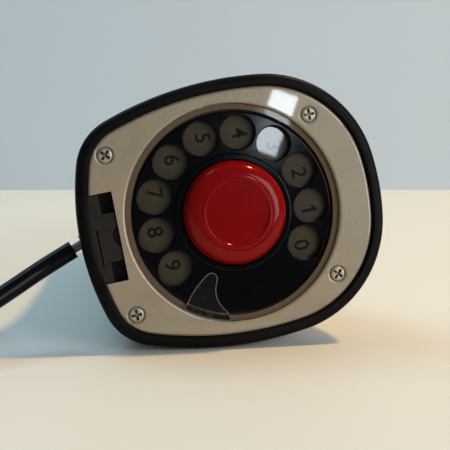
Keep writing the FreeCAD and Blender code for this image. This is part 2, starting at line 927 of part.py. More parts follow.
def biarc(start, start_way, end, end_way):
    """Two tangent arcs between two points with the given directions."""
    across = end - start
    ways = start_way + end_way
    spread = 2 * (1 - start_way.dot(end_way))
    share = across.dot(ways)
    reach = (math.sqrt(share ** 2 + spread * across.dot(across)) - share) / spread
    first = start + start_way * reach
    second = end - end_way * reach
    joint = (first + second) * 0.5
    return [arc_between(start, first, joint), arc_between(joint, second, end)]


def wound_path(point_at, way_at, stations):
    edges = []
    for low, high in zip(stations, stations[1:]):
        edges += biarc(point_at(low), way_at(low), point_at(high), way_at(high))
    return edges


def tube_along(edges, radius):
    """One tube along joined edges, as a pipe shell."""
    start = edges[0].Vertexes[0].Point
    way = edges[0].tangentAt(edges[0].FirstParameter)
    profile = Part.Wire(Part.makeCircle(radius, start, way))
    return Part.Wire(edges).makePipeShell([profile], True, False)


def rounded_route(points):
    """Straight runs joined by tangent arcs as large as the runs allow, and the arcs' radii."""
    edges = []
    radii = []
    share = 0.45
    last = points[0]
    for before, corner, after in zip(points, points[1:], points[2:]):
        back = before - corner
        ahead = after - corner
        trim = share * min(back.Length, ahead.Length)
        back.normalize()
        ahead.normalize()
        half_turn = (math.pi - back.getAngle(ahead)) / 2
        start = corner + back * trim
        end = corner + ahead * trim
        edges.append(Part.LineSegment(last, start).toShape())
        edges.append(arc_between(start, corner, end))
        radii.append(trim / math.tan(half_turn))
        last = end
    edges.append(Part.LineSegment(last, points[-1]).toShape())
    return edges, radii


def report_tube(name, shape, edges, radius):
    run = sum(edge.Length for edge in edges)
    wanted = math.pi * radius ** 2 * run
    print(f"{name}: length {run:.1f} mm, volume over section times length {shape.Volume / wanted:.4f}")


def stem_spring():
    """The spring that lifts the button, drawn at the length it has when the button is pressed."""
    wire = float(d.stem_spring_wire) / 2
    radius = float(d.stem_radius + d.collar_radius) / 2 + wire / 2
    low = float(collar_back) + wire + float(d.run_gap)
    high = float(bridge_face - d.button_travel - d.collar_gap) - wire
    end_angle = 2 * math.pi * float(d.stem_spring_turns)
    rise = (high - low) / end_angle

    def point_at(angle):
        return Vector(radius * math.cos(angle), radius * math.sin(angle), low + rise * angle)

    def way_at(angle):
        return Vector(-radius * math.sin(angle), radius * math.cos(angle), rise).normalize()

    quarters = round(4 * float(d.stem_spring_turns))
    edges = wound_path(point_at, way_at, [end_angle * i / quarters for i in range(quarters + 1)])
    shape = tube_along(edges, wire)
    report_tube("stem_spring", shape, edges, wire)
    made("stem_spring", shape)


def return_spring():
    """A flat spiral strip of half circles about the dial's bush, seated on the frame."""
    half_strip = float(d.spring_strip) / 2
    step = float(d.spring_pitch) / 2
    inmost = float(d.bush_radius + d.spring_start_gap)
    outer = []
    inner = []
    for index in range(round(2 * float(d.spring_turns))):
        side = 1 if index % 2 == 0 else -1
        middle = 0 if index % 2 == 0 else step
        radius = inmost + step * index
        for edges, reach in ((outer, radius + half_strip), (inner, radius - half_strip)):
            start = Vector(middle + side * reach, 0, 0)
            top = Vector(middle, side * reach, 0)
            end = Vector(middle - side * reach, 0, 0)
            edges.append(Part.Arc(start, top, end).toShape())
    last_side = Vector(step + inmost + step * (2 * float(d.spring_turns) - 1), 0, 0)
    half = Vector(half_strip, 0, 0)
    first_side = Vector(inmost, 0, 0)
    caps = [
        Part.LineSegment(first_side - half, first_side + half).toShape(),
        Part.LineSegment(last_side - half, last_side + half).toShape(),
    ]
    strip = Part.Face(Part.Wire(Part.__sortEdges__(outer + inner + caps)))
    shape = strip.extrude(Vector(0, 0, float(d.spring_height)))
    shape.translate(Vector(0, 0, float(frame_face - d.spring_height)))
    made("return_spring", shape)


# Dial mechanism

idler_reach = d.gear_module * (d.main_teeth + d.pinion_teeth) / 2 + d.backlash
idler_spot = polar(idler_reach, d.idler_angle)
governor_reach = d.train_module * (d.idler_teeth + d.governor_teeth) / 2 + d.backlash
governor_spot = idler_spot + polar(governor_reach, d.governor_angle)


def dial_frame():
    wall = well_radius - d.frame_rim_gap
    body = turned("dial_frame", [
        (d.bush_radius, frame_face),
        (wall - d.frame_sheet, frame_face),
        (wall - d.frame_sheet, number_back),
        (skirt_radius, number_back),
        (skirt_radius, number_back + d.frame_sheet),
        (wall, number_back + d.frame_sheet),
        (wall, frame_back),
        (d.bush_radius, frame_back),
    ])
    pivots = new_sketch(body, "XY_Plane")
    circle_at(pivots, d.idler_radius + d.run_gap, idler_spot)
    circle_at(pivots, d.governor_radius + d.run_gap, governor_spot)
    cut_through(body, pivots)


def dial_shaft():
    turned("dial_shaft", tube_corners(shaft_bore, shaft_radius, cup_face, shaft_back))
    bore = shaft_radius + d.run_gap
    turned("dial_bush", tube_corners(bore, d.bush_radius, frame_face - d.bush_stub, bush_back))


def gear(label, module, teeth, bore, low, thickness, spot=Vector(), phase=0.0):
    builder = FCWireBuilder()
    involute.CreateExternalGear(builder, float(module), round(float(teeth)), 20, True)
    profile = Part.Wire([piece.toShape() for piece in builder.wire])
    blank = Part.Face(profile).extrude(Vector(0, 0, float(thickness)))
    hole = Part.makeCylinder(float(bore), float(thickness))
    shape = blank.cut(hole)
    place = Placement(Vector(spot.x, spot.y, float(low)), turn(Z_AXIS, phase))
    made(label, shape, place)


def meshing_phase(teeth, phase, way, other_teeth):
    """The turn of a gear that lets it mesh with one that has the phase, seen along the way."""
    pitch = 360 / float(teeth)
    other_pitch = 360 / float(other_teeth)
    share = ((float(way) - phase) / pitch) % 1
    return float(way) + 180 - (0.5 - share) * other_pitch


def gear_train():
    gear("main_gear", d.gear_module, d.main_teeth, shaft_radius, gear_face, d.gear_thickness)
    phase = meshing_phase(d.main_teeth, 0, d.idler_angle, d.pinion_teeth)
    gear("idler_pinion", d.gear_module, d.pinion_teeth, d.idler_radius, gear_face, d.gear_thickness,
         idler_spot, phase)
    gear("idler_wheel", d.train_module, d.idler_teeth, d.idler_radius, train_face, d.train_thickness,
         idler_spot)
    phase = meshing_phase(d.idler_teeth, 0, d.governor_angle, d.governor_teeth)
    gear("governor_pinion", d.train_module, d.governor_teeth, d.governor_radius, train_face,
         d.train_thickness, governor_spot, phase)


def idler_and_governor():
    idler = Placement(idler_spot, Rotation())
    governor = Placement(governor_spot, Rotation())
    turned("idler_shaft", [(0, frame_face), (d.idler_radius, frame_face), (d.idler_radius, bridge_back),
                           (0, bridge_back)], idler)
    turned("governor_shaft", [(0, frame_face), (d.governor_radius, frame_face),
                              (d.governor_radius, bridge_back), (0, bridge_back)], governor)
    cam = new_body("pulse_cam", idler)
    outline = new_sketch(cam, "XY_Plane", cam_face)
    side = d.cam_half
    flat = d.cam_half - d.cam_corner
    polygon(outline, [(side, -flat), (side, flat), (flat, side), (-flat, side), (-side, flat), (-side, -flat),
                      (-flat, -side), (flat, -side)])
    circle(outline, d.idler_radius)
    pad(cam, outline, d.cam_thickness)
    roof = bridge_face - d.drum_wall
    turned("governor_drum", [
        (d.drum_radius - d.drum_wall, drum_face),
        (d.drum_radius, drum_face),
        (d.drum_radius, bridge_face),
        (d.governor_radius + d.drum_bore_gap, bridge_face),
        (d.governor_radius + d.drum_bore_gap, roof),
        (d.drum_radius - d.drum_wall, roof),
    ], governor)
    arm = new_body("governor_arm", governor)
    outline = new_sketch(arm, "XY_Plane", drum_face)
    rectangle(outline, -d.arm_length / 2, d.arm_length / 2, -d.arm_width / 2, d.arm_width / 2)
    circle(outline, d.governor_radius)
    pad(arm, outline, d.arm_thickness)
    weight = Part.makeCylinder(float(d.weight_radius), float(d.weight_height))
    top = drum_face + d.arm_thickness
    places = [at(side * (d.arm_length / 2 - d.weight_radius), 0, top) for side in (1, -1)]
    made("governor_weights", copies(weight, places), governor)


def bridge_plate():
    body = new_body("bridge_plate")
    disc = new_sketch(body, "XY_Plane", bridge_face)
    circle(disc, d.bridge_radius)
    pad(body, disc, d.bridge_sheet)
    front = new_sketch(body, "XY_Plane")
    rectangle(front, d.bridge_front, d.bridge_radius * 2, -d.bridge_radius, d.bridge_radius)
    cut_through(body, front)
    holes = new_sketch(body, "XY_Plane")
    circle(holes, d.stem_radius + d.run_gap)
    circle_at(holes, d.idler_radius + d.run_gap, idler_spot)
    circle_at(holes, d.governor_radius + d.run_gap, governor_spot)
    cut_through(body, holes)
    start = float(d.bridge_post_start)
    angles = (start, 180 - start, 180 + start + float(d.bridge_post_shift), -start)
    post = Part.makeCylinder(float(d.post_radius), float(bridge_face - frame_back))
    places = [Placement(polar(d.bridge_post_circle, angle, frame_back), Rotation()) for angle in angles]
    made("bridge_posts", copies(post, places))


def block(label, x_range, y_range, z_range, place=Placement()):
    body = new_body(label, place)
    outline = new_sketch(body, "XY_Plane", z_range[0])
    rectangle(outline, *x_range, *y_range)
    pad(body, outline, z_range[1] - z_range[0])
    return body


def hook_lever(stem_top):
    low = stem_top + d.lever_gap
    high = low + d.lever_thickness
    pin_z = low + d.lever_thickness / 2
    half = d.lever_width / 2
    lever_x = (d.lever_pivot_x - d.lever_reach, d.lever_pivot_x + d.lever_heel)
    lever = block("hook_lever", lever_x, (-half, half), (low, high))
    hole = new_sketch(lever, "XZ_Plane")
    circle(hole, d.lever_pin_radius + d.run_gap, d.lever_pivot_x, pin_z)
    cut_through(lever, hole)
    ear_top = pin_z + d.bracket_ear
    bracket_half = half + d.bracket_gap + d.bracket_sheet
    bracket_x = (d.lever_pivot_x - d.bracket_length / 2, d.lever_pivot_x + d.bracket_length / 2)
    bracket = block("lever_bracket", bracket_x, (-bracket_half, bracket_half),
                    (bridge_back, ear_top))
    slot = new_sketch(bracket, "XY_Plane", bridge_back + d.bracket_sheet)
    slot_half = half + d.bracket_gap
    rectangle(slot, d.lever_pivot_x - d.bracket_length, d.lever_pivot_x + d.bracket_length, -slot_half, slot_half)
    cut_up(bracket, slot, ear_top - bridge_back)
    ear_hole = new_sketch(bracket, "XZ_Plane")
    circle(ear_hole, d.lever_pin_radius, d.lever_pivot_x, pin_z)
    cut_through(bracket, ear_hole)
    across = turn(X_AXIS, -90)
    turned("lever_pin", [(0, -bracket_half), (d.lever_pin_radius, -bracket_half),
                         (d.lever_pin_radius, bracket_half), (0, bracket_half)],
           at(d.lever_pivot_x, 0, pin_z, across))
    return Vector(float(d.lever_pivot_x), 0, float(pin_z))


def contact_sets():
    middle = d.hook_contact_x
    block("hook_contacts", (middle - d.contact_length / 2, middle + d.contact_length / 2),
          (-d.contact_width / 2, d.contact_width / 2), (bridge_back, bridge_back + d.contact_height))
    spot = idler_spot + polar(d.pulse_contact_reach, d.pulse_contact_angle)
    half = d.pulse_contact_side / 2
    block("pulse_contacts", (-half, half), (-half, half), (cam_face, bridge_face), Placement(spot, Rotation()))


# Network board

board_front = d.board_x + d.board_length / 2
board_rear = d.board_x - d.board_length / 2


def network_board():
    half_x = d.board_length / 2
    half_y = d.board_width / 2
    block("network_board", (board_rear, board_front), (-half_y, half_y), (board_face, board_back))
    post = Part.makeCylinder(float(d.board_post_radius), float(d.board_lift))
    places = [
        at(d.board_x + x_side * (half_x - d.board_post_inset), y_side * (half_y - d.board_post_inset), bridge_back)
        for x_side in (1, -1)
        for y_side in (1, -1)
    ]
    made("board_posts", copies(post, places))


def induction_coil():
    half_x = d.core_length / 2
    half_y = d.core_width / 2
    limb = d.core_limb
    place = at(board_rear + d.coil_inset, d.coil_y, board_back)
    core = block("coil_core", (-half_x, half_x), (-half_y, half_y), (length(0), d.core_height), place)
    windows = new_sketch(core, "XZ_Plane")
    rectangle(windows, limb / 2, half_x - limb, limb, d.core_height - limb)
    rectangle(windows, limb - half_x, -limb / 2, limb, d.core_height - limb)
    cut_through(core, windows)
    winding = new_body("coil_winding", place)
    ring = new_sketch(winding, "XY_Plane", limb + d.winding_gap)
    outer_x = half_x - limb - d.winding_gap
    outer_y = half_y + (outer_x - limb / 2)
    rectangle(ring, -outer_x, outer_x, -outer_y, outer_y)
    inner_x = limb / 2 + d.run_gap
    inner_y = half_y + d.run_gap
    rectangle(ring, -inner_x, inner_x, -inner_y, inner_y)
    pad(winding, ring, d.core_height - limb * 2 - d.winding_gap * 2)


def ringer_and_capacitor():
    turned("ringer", [(0, board_back), (d.ringer_radius, board_back),
                      (d.ringer_radius, board_back + d.ringer_height), (0, board_back + d.ringer_height)],
           at(board_rear + d.ringer_inset, d.ringer_y, 0))
    half = d.capacitor_length / 2
    turned("capacitor", [(0, -half), (d.capacitor_radius, -half), (d.capacitor_radius, half), (0, half)],
           at(board_front - d.capacitor_inset, 0, board_back + d.capacitor_radius, turn(X_AXIS, -90)))


def transmitter():
    place = at(d.transmitter_x, 0, d.transmitter_z, turn(Y_AXIS, 90 - float(d.transmitter_tilt)))
    back = -d.transmitter_depth
    radius = d.transmitter_radius
    turned("transmitter_capsule", [(0, back), (radius, back), (radius, 0), (0, 0)], place)
    wall = d.transmitter_cup_wall
    turned("transmitter_cup", [
        (0, back - wall),
        (radius + wall, back - wall),
        (radius + wall, -wall),
        (radius, -wall),
        (radius, back),
        (0, back),
    ], place)


# Case, ear cap and receiver

SECTION_POINTS = 48


def section_angles():
    return [2 * math.pi * i / SECTION_POINTS for i in range(SECTION_POINTS)]


def station_sizes(name):
    return [float(getattr(d, f"{name}_{field}")) for field in STATION_FIELDS]


def station_points(name, inset):
    x, z, lean, depth, width = station_sizes(name)
    lean = math.radians(lean)
    depth -= inset
    width -= inset
    ahead = Vector(math.cos(lean), 0, -math.sin(lean))
    points = []
    for angle in section_angles():
        cosine = math.cos(angle)
        sine = math.sin(angle)
        reach = math.hypot(depth * cosine, width * sine)
        along = depth ** 2 * cosine / reach
        aside = width ** 2 * sine / reach
        points.append(Vector(x, 0, z) + ahead * along + Y_AXIS * aside)
    return points


def skirt_points(inset, height):
    return [outline_point(inset, angle) + Vector(0, 0, float(height)) for angle in section_angles()]


def closed_curve(points):
    curve = Part.BSplineCurve()
    steps = [float(i) for i in range(len(points) + 1)]
    curve.interpolate(Points=points, PeriodicFlag=True, Parameters=steps)
    return Part.Wire(curve.toShape())


def case_form(inset):
    sections = [
        skirt_points(d.case_inset + inset, d.ring_height),
        skirt_points(d.skirt_inset + inset, d.skirt_top),
    ]
    sections += [station_points(name, inset) for name in STATIONS]
    return Part.makeLoft([closed_curve(points) for points in sections], True, False, False, 5)


def case_shell(grommet_bore):
    outer = case_form(0)
    shell = outer.cut(case_form(float(d.case_wall)))
    low = float(plate_back)
    joint = float(d.ring_height) + float(d.run_gap)
    column_height = station_sizes("hip")[1] - joint
    pilot_depth = float(d.screw_length)
    for spot in SCREW_SPOTS:
        foot = Part.makeCylinder(float(d.boss_radius), joint - low, spot + Vector(0, 0, low))
        column = Part.makeCylinder(float(d.boss_radius), column_height, spot + Vector(0, 0, joint))
        shell = shell.fuse(foot.fuse(column.common(outer)))
        pilot_start = spot + Vector(0, 0, float(plate_face + d.screw_head_sink))
        shell = shell.cut(Part.makeCylinder(float(d.screw_radius), pilot_depth, pilot_start))
    slot_far = 2 * float(front_x)
    for index in range(round(float(d.slot_count))):
        low_edge = Vector(float(d.transmitter_x), -float(d.slot_width) / 2,
                          float(d.slot_bottom + index * d.slot_step))
        shell = shell.cut(Part.makeBox(slot_far, float(d.slot_width), float(d.slot_height), low_edge))
    shell = shell.cut(grommet_bore)
    made("case_shell", shell)
    return outer


def ear_place():
    x, z, lean, depth, width = station_sizes("ear")
    return at(x, 0, z, turn(Y_AXIS, lean))


def ear_cap():
    place = ear_place()
    radius = d.ear_width
    spigot = radius - d.case_wall - d.cap_fit
    body = turned("ear_cap", [
        (0, 0),
        (spigot - d.cap_spigot_wall, 0),
        (spigot - d.cap_spigot_wall, -d.cap_spigot),
        (spigot, -d.cap_spigot),
        (spigot, 0),
        (radius, 0),
        (radius, d.cap_thickness),
        (d.cap_dish_radius, d.cap_thickness),
        (d.cap_dish_radius, d.cap_thickness - d.cap_dish),
        (0, d.cap_thickness - d.cap_dish),
    ], place)
    holes = new_sketch(body, "XY_Plane")
    circle(holes, d.cap_hole_radius)
    cut_through(body, holes)
    ring = new_sketch(body, "XY_Plane")
    circle(ring, d.cap_hole_radius, d.cap_hole_circle, 0)
    hole = cut_through(body, ring)
    count = d.cap_hole_count
    repeat_round(body, hole, ring, count, 360 * (count - 1) / count)
    round_edges(body, d.cap_round, lambda edge: is_circle(edge, radius, d.cap_thickness))
    back = -d.seal_thickness
    outer = d.receiver_radius
    turned("receiver_ring", tube_corners(outer - d.seal_width, outer, back, length(0)), place)
    turned("receiver_capsule", [(0, back - d.receiver_depth), (outer, back - d.receiver_depth), (outer, back),
                                (0, back)], place)


def receiver_lead():
    """The wire from the board up the neck to the back of the receiver."""
    place = ear_place()
    end = place.multVec(Vector(0, 0, -float(d.seal_thickness + d.receiver_depth)))
    into = place.Rotation.multVec(Z_AXIS)
    start = Vector(float(d.board_x + d.lead_shift), 0, float(board_back))
    run = float(d.lead_run)
    neck = [Vector(station_sizes(name)[0], 0, station_sizes(name)[1]) for name in ("grip", "nape", "crown")]
    points = [start, start + Z_AXIS * run] + neck + [end - into * run, end]
    edges, radii = rounded_route(points)
    shape = tube_along(edges, float(d.lead_radius))
    print("receiver_lead radii", [round(radius, 1) for radius in radii])
    report_tube("receiver_lead", shape, edges, float(d.lead_radius))
    made("receiver_lead", shape)


# Grommet, cord and plug

cord_radius = d.cord_diameter / 2


def grommet(block_rear):
    """The grommet in the rear wall and the straight sheath that passes through it."""
    exit_turn = turn(Z_AXIS, -d.cord_exit_angle).multiply(turn(Y_AXIS, -90))
    place = at(block_rear, d.cord_exit_y, d.cord_exit_z, exit_turn)
    tip = block_rear - rear_x + d.grommet_proud
    inside = tip - d.grommet_inside
    turned("cord_grommet", tube_corners(d.sheath_radius, d.grommet_radius, inside, tip), place)
    start = d.sheath_start_gap
    end = tip + d.sheath_show
    turned("cord_sheath", [(0, start), (d.sheath_radius, start), (d.sheath_radius, end), (0, end)], place)
    bore = Part.makeCylinder(float(d.grommet_radius), float(end))
    bore.Placement = place
    return bore, place.multVec(Vector(0, 0, float(end))), place.Rotation.multVec(Z_AXIS)


def node_points(name):
    item, place = nodes[name]
    fineness = 0.02
    return [place.multVec(point) for point in item.Shape.tessellate(fineness)[0]]


def form_points(form):
    """Points spread over the largest face of a form."""
    face = max(form.Faces, key=lambda one: one.Area)
    u_low, u_high, v_low, v_high = face.ParameterRange
    count = 200
    steps = [i / count for i in range(count + 1)]
    return [
        face.Surface.value(u_low + (u_high - u_low) * u, v_low + (v_high - v_low) * v)
        for u in steps
        for v in steps
    ]


def settle(case_outer):
    """The rotation that lays the telephone on its side, on the foot ring and the head."""
    on_side = turn(Y_AXIS, -d.rest_roll).multiply(turn(X_AXIS, -90))
    neck = float(d.grip_z)
    foot = [on_side.multVec(point) for point in node_points("base_ring")]
    head = [point for point in form_points(case_outer) if point.z > neck] + node_points("ear_cap")
    head = [on_side.multVec(point) for point in head]

    def step_down(tilt):
        leaning = turn(X_AXIS, -tilt)
        low_foot = min(leaning.multVec(point).z for point in foot)
        low_head = min(leaning.multVec(point).z for point in head)
        return low_head - low_foot

    low = 0.0
    high = 30.0
    for _ in range(24):
        tilt = (low + high) / 2
        if step_down(tilt) > 0:
            low = tilt
        else:
            high = tilt
    print(f"lies with its axis {tilt:.3f} degrees down towards the head")
    return Placement(Vector(), turn(X_AXIS, -tilt).multiply(on_side))


def put_down(lay):
    """Moves the lying telephone so that the middle of its box is over the origin, at the surface."""
    bounds = FreeCAD.BoundBox()
    for item, place in nodes.values():
        shape = item.Shape.copy()
        shape.Placement = lay.multiply(place)
        bounds.add(shape.optimalBoundingBox(False))
    lay.Base = Vector(-bounds.Center.x, -bounds.Center.y, -bounds.ZMin)
    return lay


def coil_form():
    """The put-away rest of the cord: two flat layers that spiral in and out, and the start of a last turn."""
    pitch = float(d.cord_diameter + d.coil_gap)
    inner = float(d.coil_inner)
    half_way = 2 * math.pi * float(d.coil_turns)
    end = 2 * half_way + 2 * math.pi * float(d.coil_last_turn)
    low = float(d.table_gap + d.tie_sheet + d.tie_gap + cord_radius)
    middle = Vector(*COIL_CENTRE, 0)
    climb = math.pi
    start_angle = -math.pi / 2

    def radius_at(turned_by):
        return inner + pitch * abs(turned_by - half_way) / (2 * math.pi)

    def height_at(turned_by):
        share = min(max((turned_by - half_way) / climb + 0.5, 0), 1)
        return low + pitch * share * share * (3 - 2 * share)

    def point_at(turned_by):
        flat = polar(radius_at(turned_by), math.degrees(start_angle - turned_by))
        return middle + flat + Vector(0, 0, height_at(turned_by))

    def way_at(turned_by):
        tiny = 1e-5
        return (point_at(turned_by + tiny) - point_at(turned_by - tiny)).normalize()

    return SimpleNamespace(point_at=point_at, way_at=way_at, end=end, low=low, high=low + pitch,
                           outer=radius_at(0), inner=inner)


def cord_coil(form):
    straight = float(d.cord_diameter)
    tail = float(d.coil_tail)
    quarters = round(form.end / (math.pi / 2))
    stations = [form.end * i / quarters for i in range(quarters + 1)]
    first = form.point_at(0)
    last = form.point_at(form.end)
    way_in = form.way_at(0)
    way_out = form.way_at(form.end)
    lead_in = first - way_in * straight
    lead_out = last + way_out * tail
    edges = [Part.LineSegment(lead_in, first).toShape()]
    edges += wound_path(form.point_at, form.way_at, stations)
    edges.append(Part.LineSegment(last, lead_out).toShape())
    shape = tube_along(edges, float(cord_radius))
    report_tube("cord_coil", shape, edges, float(cord_radius))
    report_gap(form)
    tightest = min(edge.Curve.Radius for edge in edges if isinstance(edge.Curve, Part.Circle))
    print(f"cord_coil: tightest arc {tightest:.1f} mm")
    made("cord_coil", shape)
    return lead_in, way_in, lead_out, way_out, sum(edge.Length for edge in edges)


def report_gap(form):
    """Prints the least gap between the turns, measured on points of the centre line."""
    per_turn = 60
    count = round(per_turn * form.end / (2 * math.pi))
    points = [form.point_at(form.end * i / count) for i in range(count + 1)]
    apart = per_turn // 2
    least = min(
        (points[i] - points[j]).Length
        for i in range(count + 1)
        for j in range(i + apart, count + 1)
    )
    print(f"cord_coil: least gap to itself {least - float(d.cord_diameter):.2f} mm")


def cord_lead(start, start_way, end, end_way):
    """The cord from the sheath down to the surface and on to the coil."""
    points = [start, start + start_way * float(d.cord_first_run)]
    points += [Vector(*point) for point in CORD_ROUTE]
    points += [end - end_way * float(d.cord_last_run), end]
    edges, radii = rounded_route(points)
    print("cord_lead radii", [round(radius, 1) for radius in radii])
    print("cord_lead points", [tuple(round(number, 2) for number in point) for point in points])
    shape = tube_along(edges, float(cord_radius))
    report_tube("cord_lead", shape, edges, float(cord_radius))
    made("cord_lead", shape)
    return sum(edge.Length for edge in edges)


def cord_tie(form):
    """A strap round the turns of the coil, on the side away from the two ends."""
    gap = float(d.tie_gap)
    radius = float(cord_radius)
    sheet = float(d.tie_sheet)
    width = float(d.tie_width)
    pitch = float(d.cord_diameter + d.coil_gap)
    near = form.inner - radius - gap
    far = form.outer - pitch / 2 + radius + gap
    low = form.low - radius - gap
    high = form.high + radius + gap
    middle = Vector(*COIL_CENTRE, 0)
    outer = Part.makeBox(width, far - near + 2 * sheet, high - low + 2 * sheet,
                         middle + Vector(-width / 2, near - sheet, low - sheet))
    inner = Part.makeBox(width, far - near, high - low, middle + Vector(-width / 2, near, low))
    made("cord_tie", outer.cut(inner))


def line_plug(end, way):
    rotation = Rotation(Z_AXIS, way)
    upright = rotation.inverted().multVec(Z_AXIS)
    spin = math.degrees(heading(Vector(), upright)) - QUARTER_TURN
    place = Placement(end, rotation.multiply(turn(Z_AXIS, spin)))
    half_x = d.plug_width / 2
    half_y = length(end.z) - d.table_gap
    body = block("plug_body", (-half_x, half_x), (-half_y, half_y), (length(0), d.plug_length), place)
    flank = float(half_x - d.plug_round)

    def upright_edge(edge):
        return edge.BoundBox.ZLength > float(d.plug_round) and abs(edge.BoundBox.XMin) > flank

    round_edges(body, d.plug_round, upright_edge)
    pin = Part.makeCylinder(float(d.pin_radius), float(d.pin_length))
    angles = [QUARTER_TURN * (index + 0.5) for index in range(4)]
    places = [Placement(polar(d.pin_circle, angle, d.plug_length), Rotation()) for angle in angles]
    made("plug_pins", copies(pin, places), place)
    return place.multVec(Vector(0, 0, float(d.plug_length)))


base_ring()
base_plate()
base_screws()
block_rear = terminal_block()
finger_wheel()
finger_stop()
number_plate()
stem_top = hook_button()
stem_spring()
return_spring()
dial_frame()
dial_shaft()
gear_train()
idler_and_governor()
bridge_plate()
lever_pivot = hook_lever(stem_top)
contact_sets()
network_board()
induction_coil()
ringer_and_capacitor()
transmitter()
grommet_bore, sheath_end, sheath_way = grommet(block_rear)
case_outer = case_shell(grommet_bore)
ear_cap()
receiver_lead()
doc.recompute()

# The telephone lies on its side, and its cord is laid out on the same surface
lay = put_down(settle(case_outer))
telephone = list(nodes)
form = coil_form()
coil_start, coil_way, tail_end, tail_way, coil_length = cord_coil(form)
lead_length = cord_lead(lay.multVec(sheath_end), lay.Rotation.multVec(sheath_way), coil_start, coil_way)
cord_tie(form)
pin_root = line_plug(tail_end, tail_way)
doc.recompute()
print(f"cord from the sheath to the plug {coil_length + lead_length:.1f} mm")
for name in telephone:
    item, place = nodes[name]
    item.Placement = lay.multiply(place)
for name in nodes:
    if name not in telephone:
        item, place = nodes[name]
        item.Placement = place
doc.recompute()

for item in doc.Objects:
    if "Invalid" in item.State or "Error" in item.State:
        raise RuntimeError(f"{item.Label} has state {item.State}")
os.makedirs("parts", exist_ok=True)
for name, (item, place) in nodes.items():
    if item.Shape.isNull() or not item.Shape.isValid():
        raise RuntimeError(f"{name} has no valid shape")
    item.Shape.exportStep(f"parts/{name}.step")
foot_spot = Vector(float(front_x - d.ring_width + d.ring_inner_round * 2), 0, 0)
for name, spot in (
    ("dial", Vector()),
    ("idler", idler_spot),
    ("governor", governor_spot),
    ("lever", lever_pivot),
    ("foot", foot_spot),
):
    print(f"place of the {name}", [round(number, 4) for number in lay.multVec(spot)])
for name, axis in (("X", X_AXIS), ("Y", Y_AXIS), ("Z", Z_AXIS)):
    print(f"direction of {name}", [round(number, 7) for number in lay.Rotation.multVec(axis)])
print("pins from", [round(number, 4) for number in pin_root], "along", [round(number, 7) for number in tail_way])
print(f"wrote {len(nodes)} sub-parts")
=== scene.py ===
import json
import math

import bmesh
import bpy
from mathutils import Matrix, Vector


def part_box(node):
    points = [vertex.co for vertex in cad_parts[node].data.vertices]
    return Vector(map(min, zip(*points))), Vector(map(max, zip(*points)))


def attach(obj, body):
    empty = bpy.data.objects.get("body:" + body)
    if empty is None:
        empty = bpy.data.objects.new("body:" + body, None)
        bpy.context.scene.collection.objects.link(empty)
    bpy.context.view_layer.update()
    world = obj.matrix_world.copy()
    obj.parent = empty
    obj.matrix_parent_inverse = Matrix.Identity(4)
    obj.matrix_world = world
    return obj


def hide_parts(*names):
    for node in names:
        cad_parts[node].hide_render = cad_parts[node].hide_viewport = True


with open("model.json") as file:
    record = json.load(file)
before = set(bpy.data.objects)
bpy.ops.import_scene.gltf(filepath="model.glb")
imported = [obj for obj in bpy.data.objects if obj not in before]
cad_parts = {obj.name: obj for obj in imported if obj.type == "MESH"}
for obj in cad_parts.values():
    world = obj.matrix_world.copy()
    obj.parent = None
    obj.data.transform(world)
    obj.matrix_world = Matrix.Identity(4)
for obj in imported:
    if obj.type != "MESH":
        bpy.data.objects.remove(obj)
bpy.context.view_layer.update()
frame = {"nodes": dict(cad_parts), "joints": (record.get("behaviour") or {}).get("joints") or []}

# One-piece telephone lying on its left side, seen towards the dial in its base. All places are in
# metres in the frame of the solids, with Z up from the table. Sizes on the dial are in millimetres and
# degrees, with the depth counted from the foot towards the ear end.

MM = 0.001
nodes = frame["nodes"]
scene = bpy.context.scene
scene.view_settings.view_transform = "Standard"

joints = {joint["name"]: joint for joint in frame["joints"]}

# The dial's own axes: to the front of the telephone, to its left and inward from the foot
DIAL_SPOT = Vector(joints["dial_turn"]["pos_m"])
INWARD = Vector(joints["dial_turn"]["axis"]).normalized()
LEFT = Vector(joints["lever_turn"]["axis"]).normalized()
FRONT = LEFT.cross(INWARD)
LAY = Matrix.Translation(DIAL_SPOT) @ Matrix((FRONT, LEFT, INWARD)).transposed().to_4x4()


# Camera

CAMERA_SPOT = (-0.06531, -0.44584, 0.0958)
CAMERA_WAY = Vector((0.17892, 0.97239, -0.14983))
SENSOR_WIDTH = 36.0
FOCUS_PIXELS = 1009.76
PICTURE_PIXELS = 450
NEAREST = 0.01
FARTHEST = 50

camera_data = bpy.data.cameras.new("camera")
camera_data.sensor_width = SENSOR_WIDTH
camera_data.lens = SENSOR_WIDTH * (FOCUS_PIXELS / PICTURE_PIXELS)
camera_data.clip_start = NEAREST
camera_data.clip_end = FARTHEST
camera = bpy.data.objects.new("camera", camera_data)
camera.location = CAMERA_SPOT
camera.rotation_euler = CAMERA_WAY.to_track_quat("-Z", "Y").to_euler()
scene.collection.objects.link(camera)
scene.camera = camera


# Line cord: the free run down to the table, then the put-away rest in two flat layers

CORD_DIAMETER = 0.0064
CORD_ROUTE = (
    (-0.05447, -0.09334, 0.03437),
    (-0.06487, -0.09396, 0.02842),
    (-0.07650, -0.10050, 0.02190),
    (-0.09250, -0.11080, 0.01400),
    (-0.10961, -0.12151, 0.00480),
    (-0.13160, -0.12100, 0.00480),
)
COIL_MIDDLE = Vector((-0.138, -0.072, 0.0))
COIL_INNER = 0.024
COIL_PITCH = 0.0071
COIL_TURNS = 3.5
COIL_LAST_TURN = 0.25
COIL_LOW = 0.0048
COIL_TAIL = 0.044
POINTS_PER_TURN = 16
END_STEP = 0.001
CURVE_ORDER = 3
CORD_RUN_STEPS = 6
CORD_ROUND_STEPS = 5


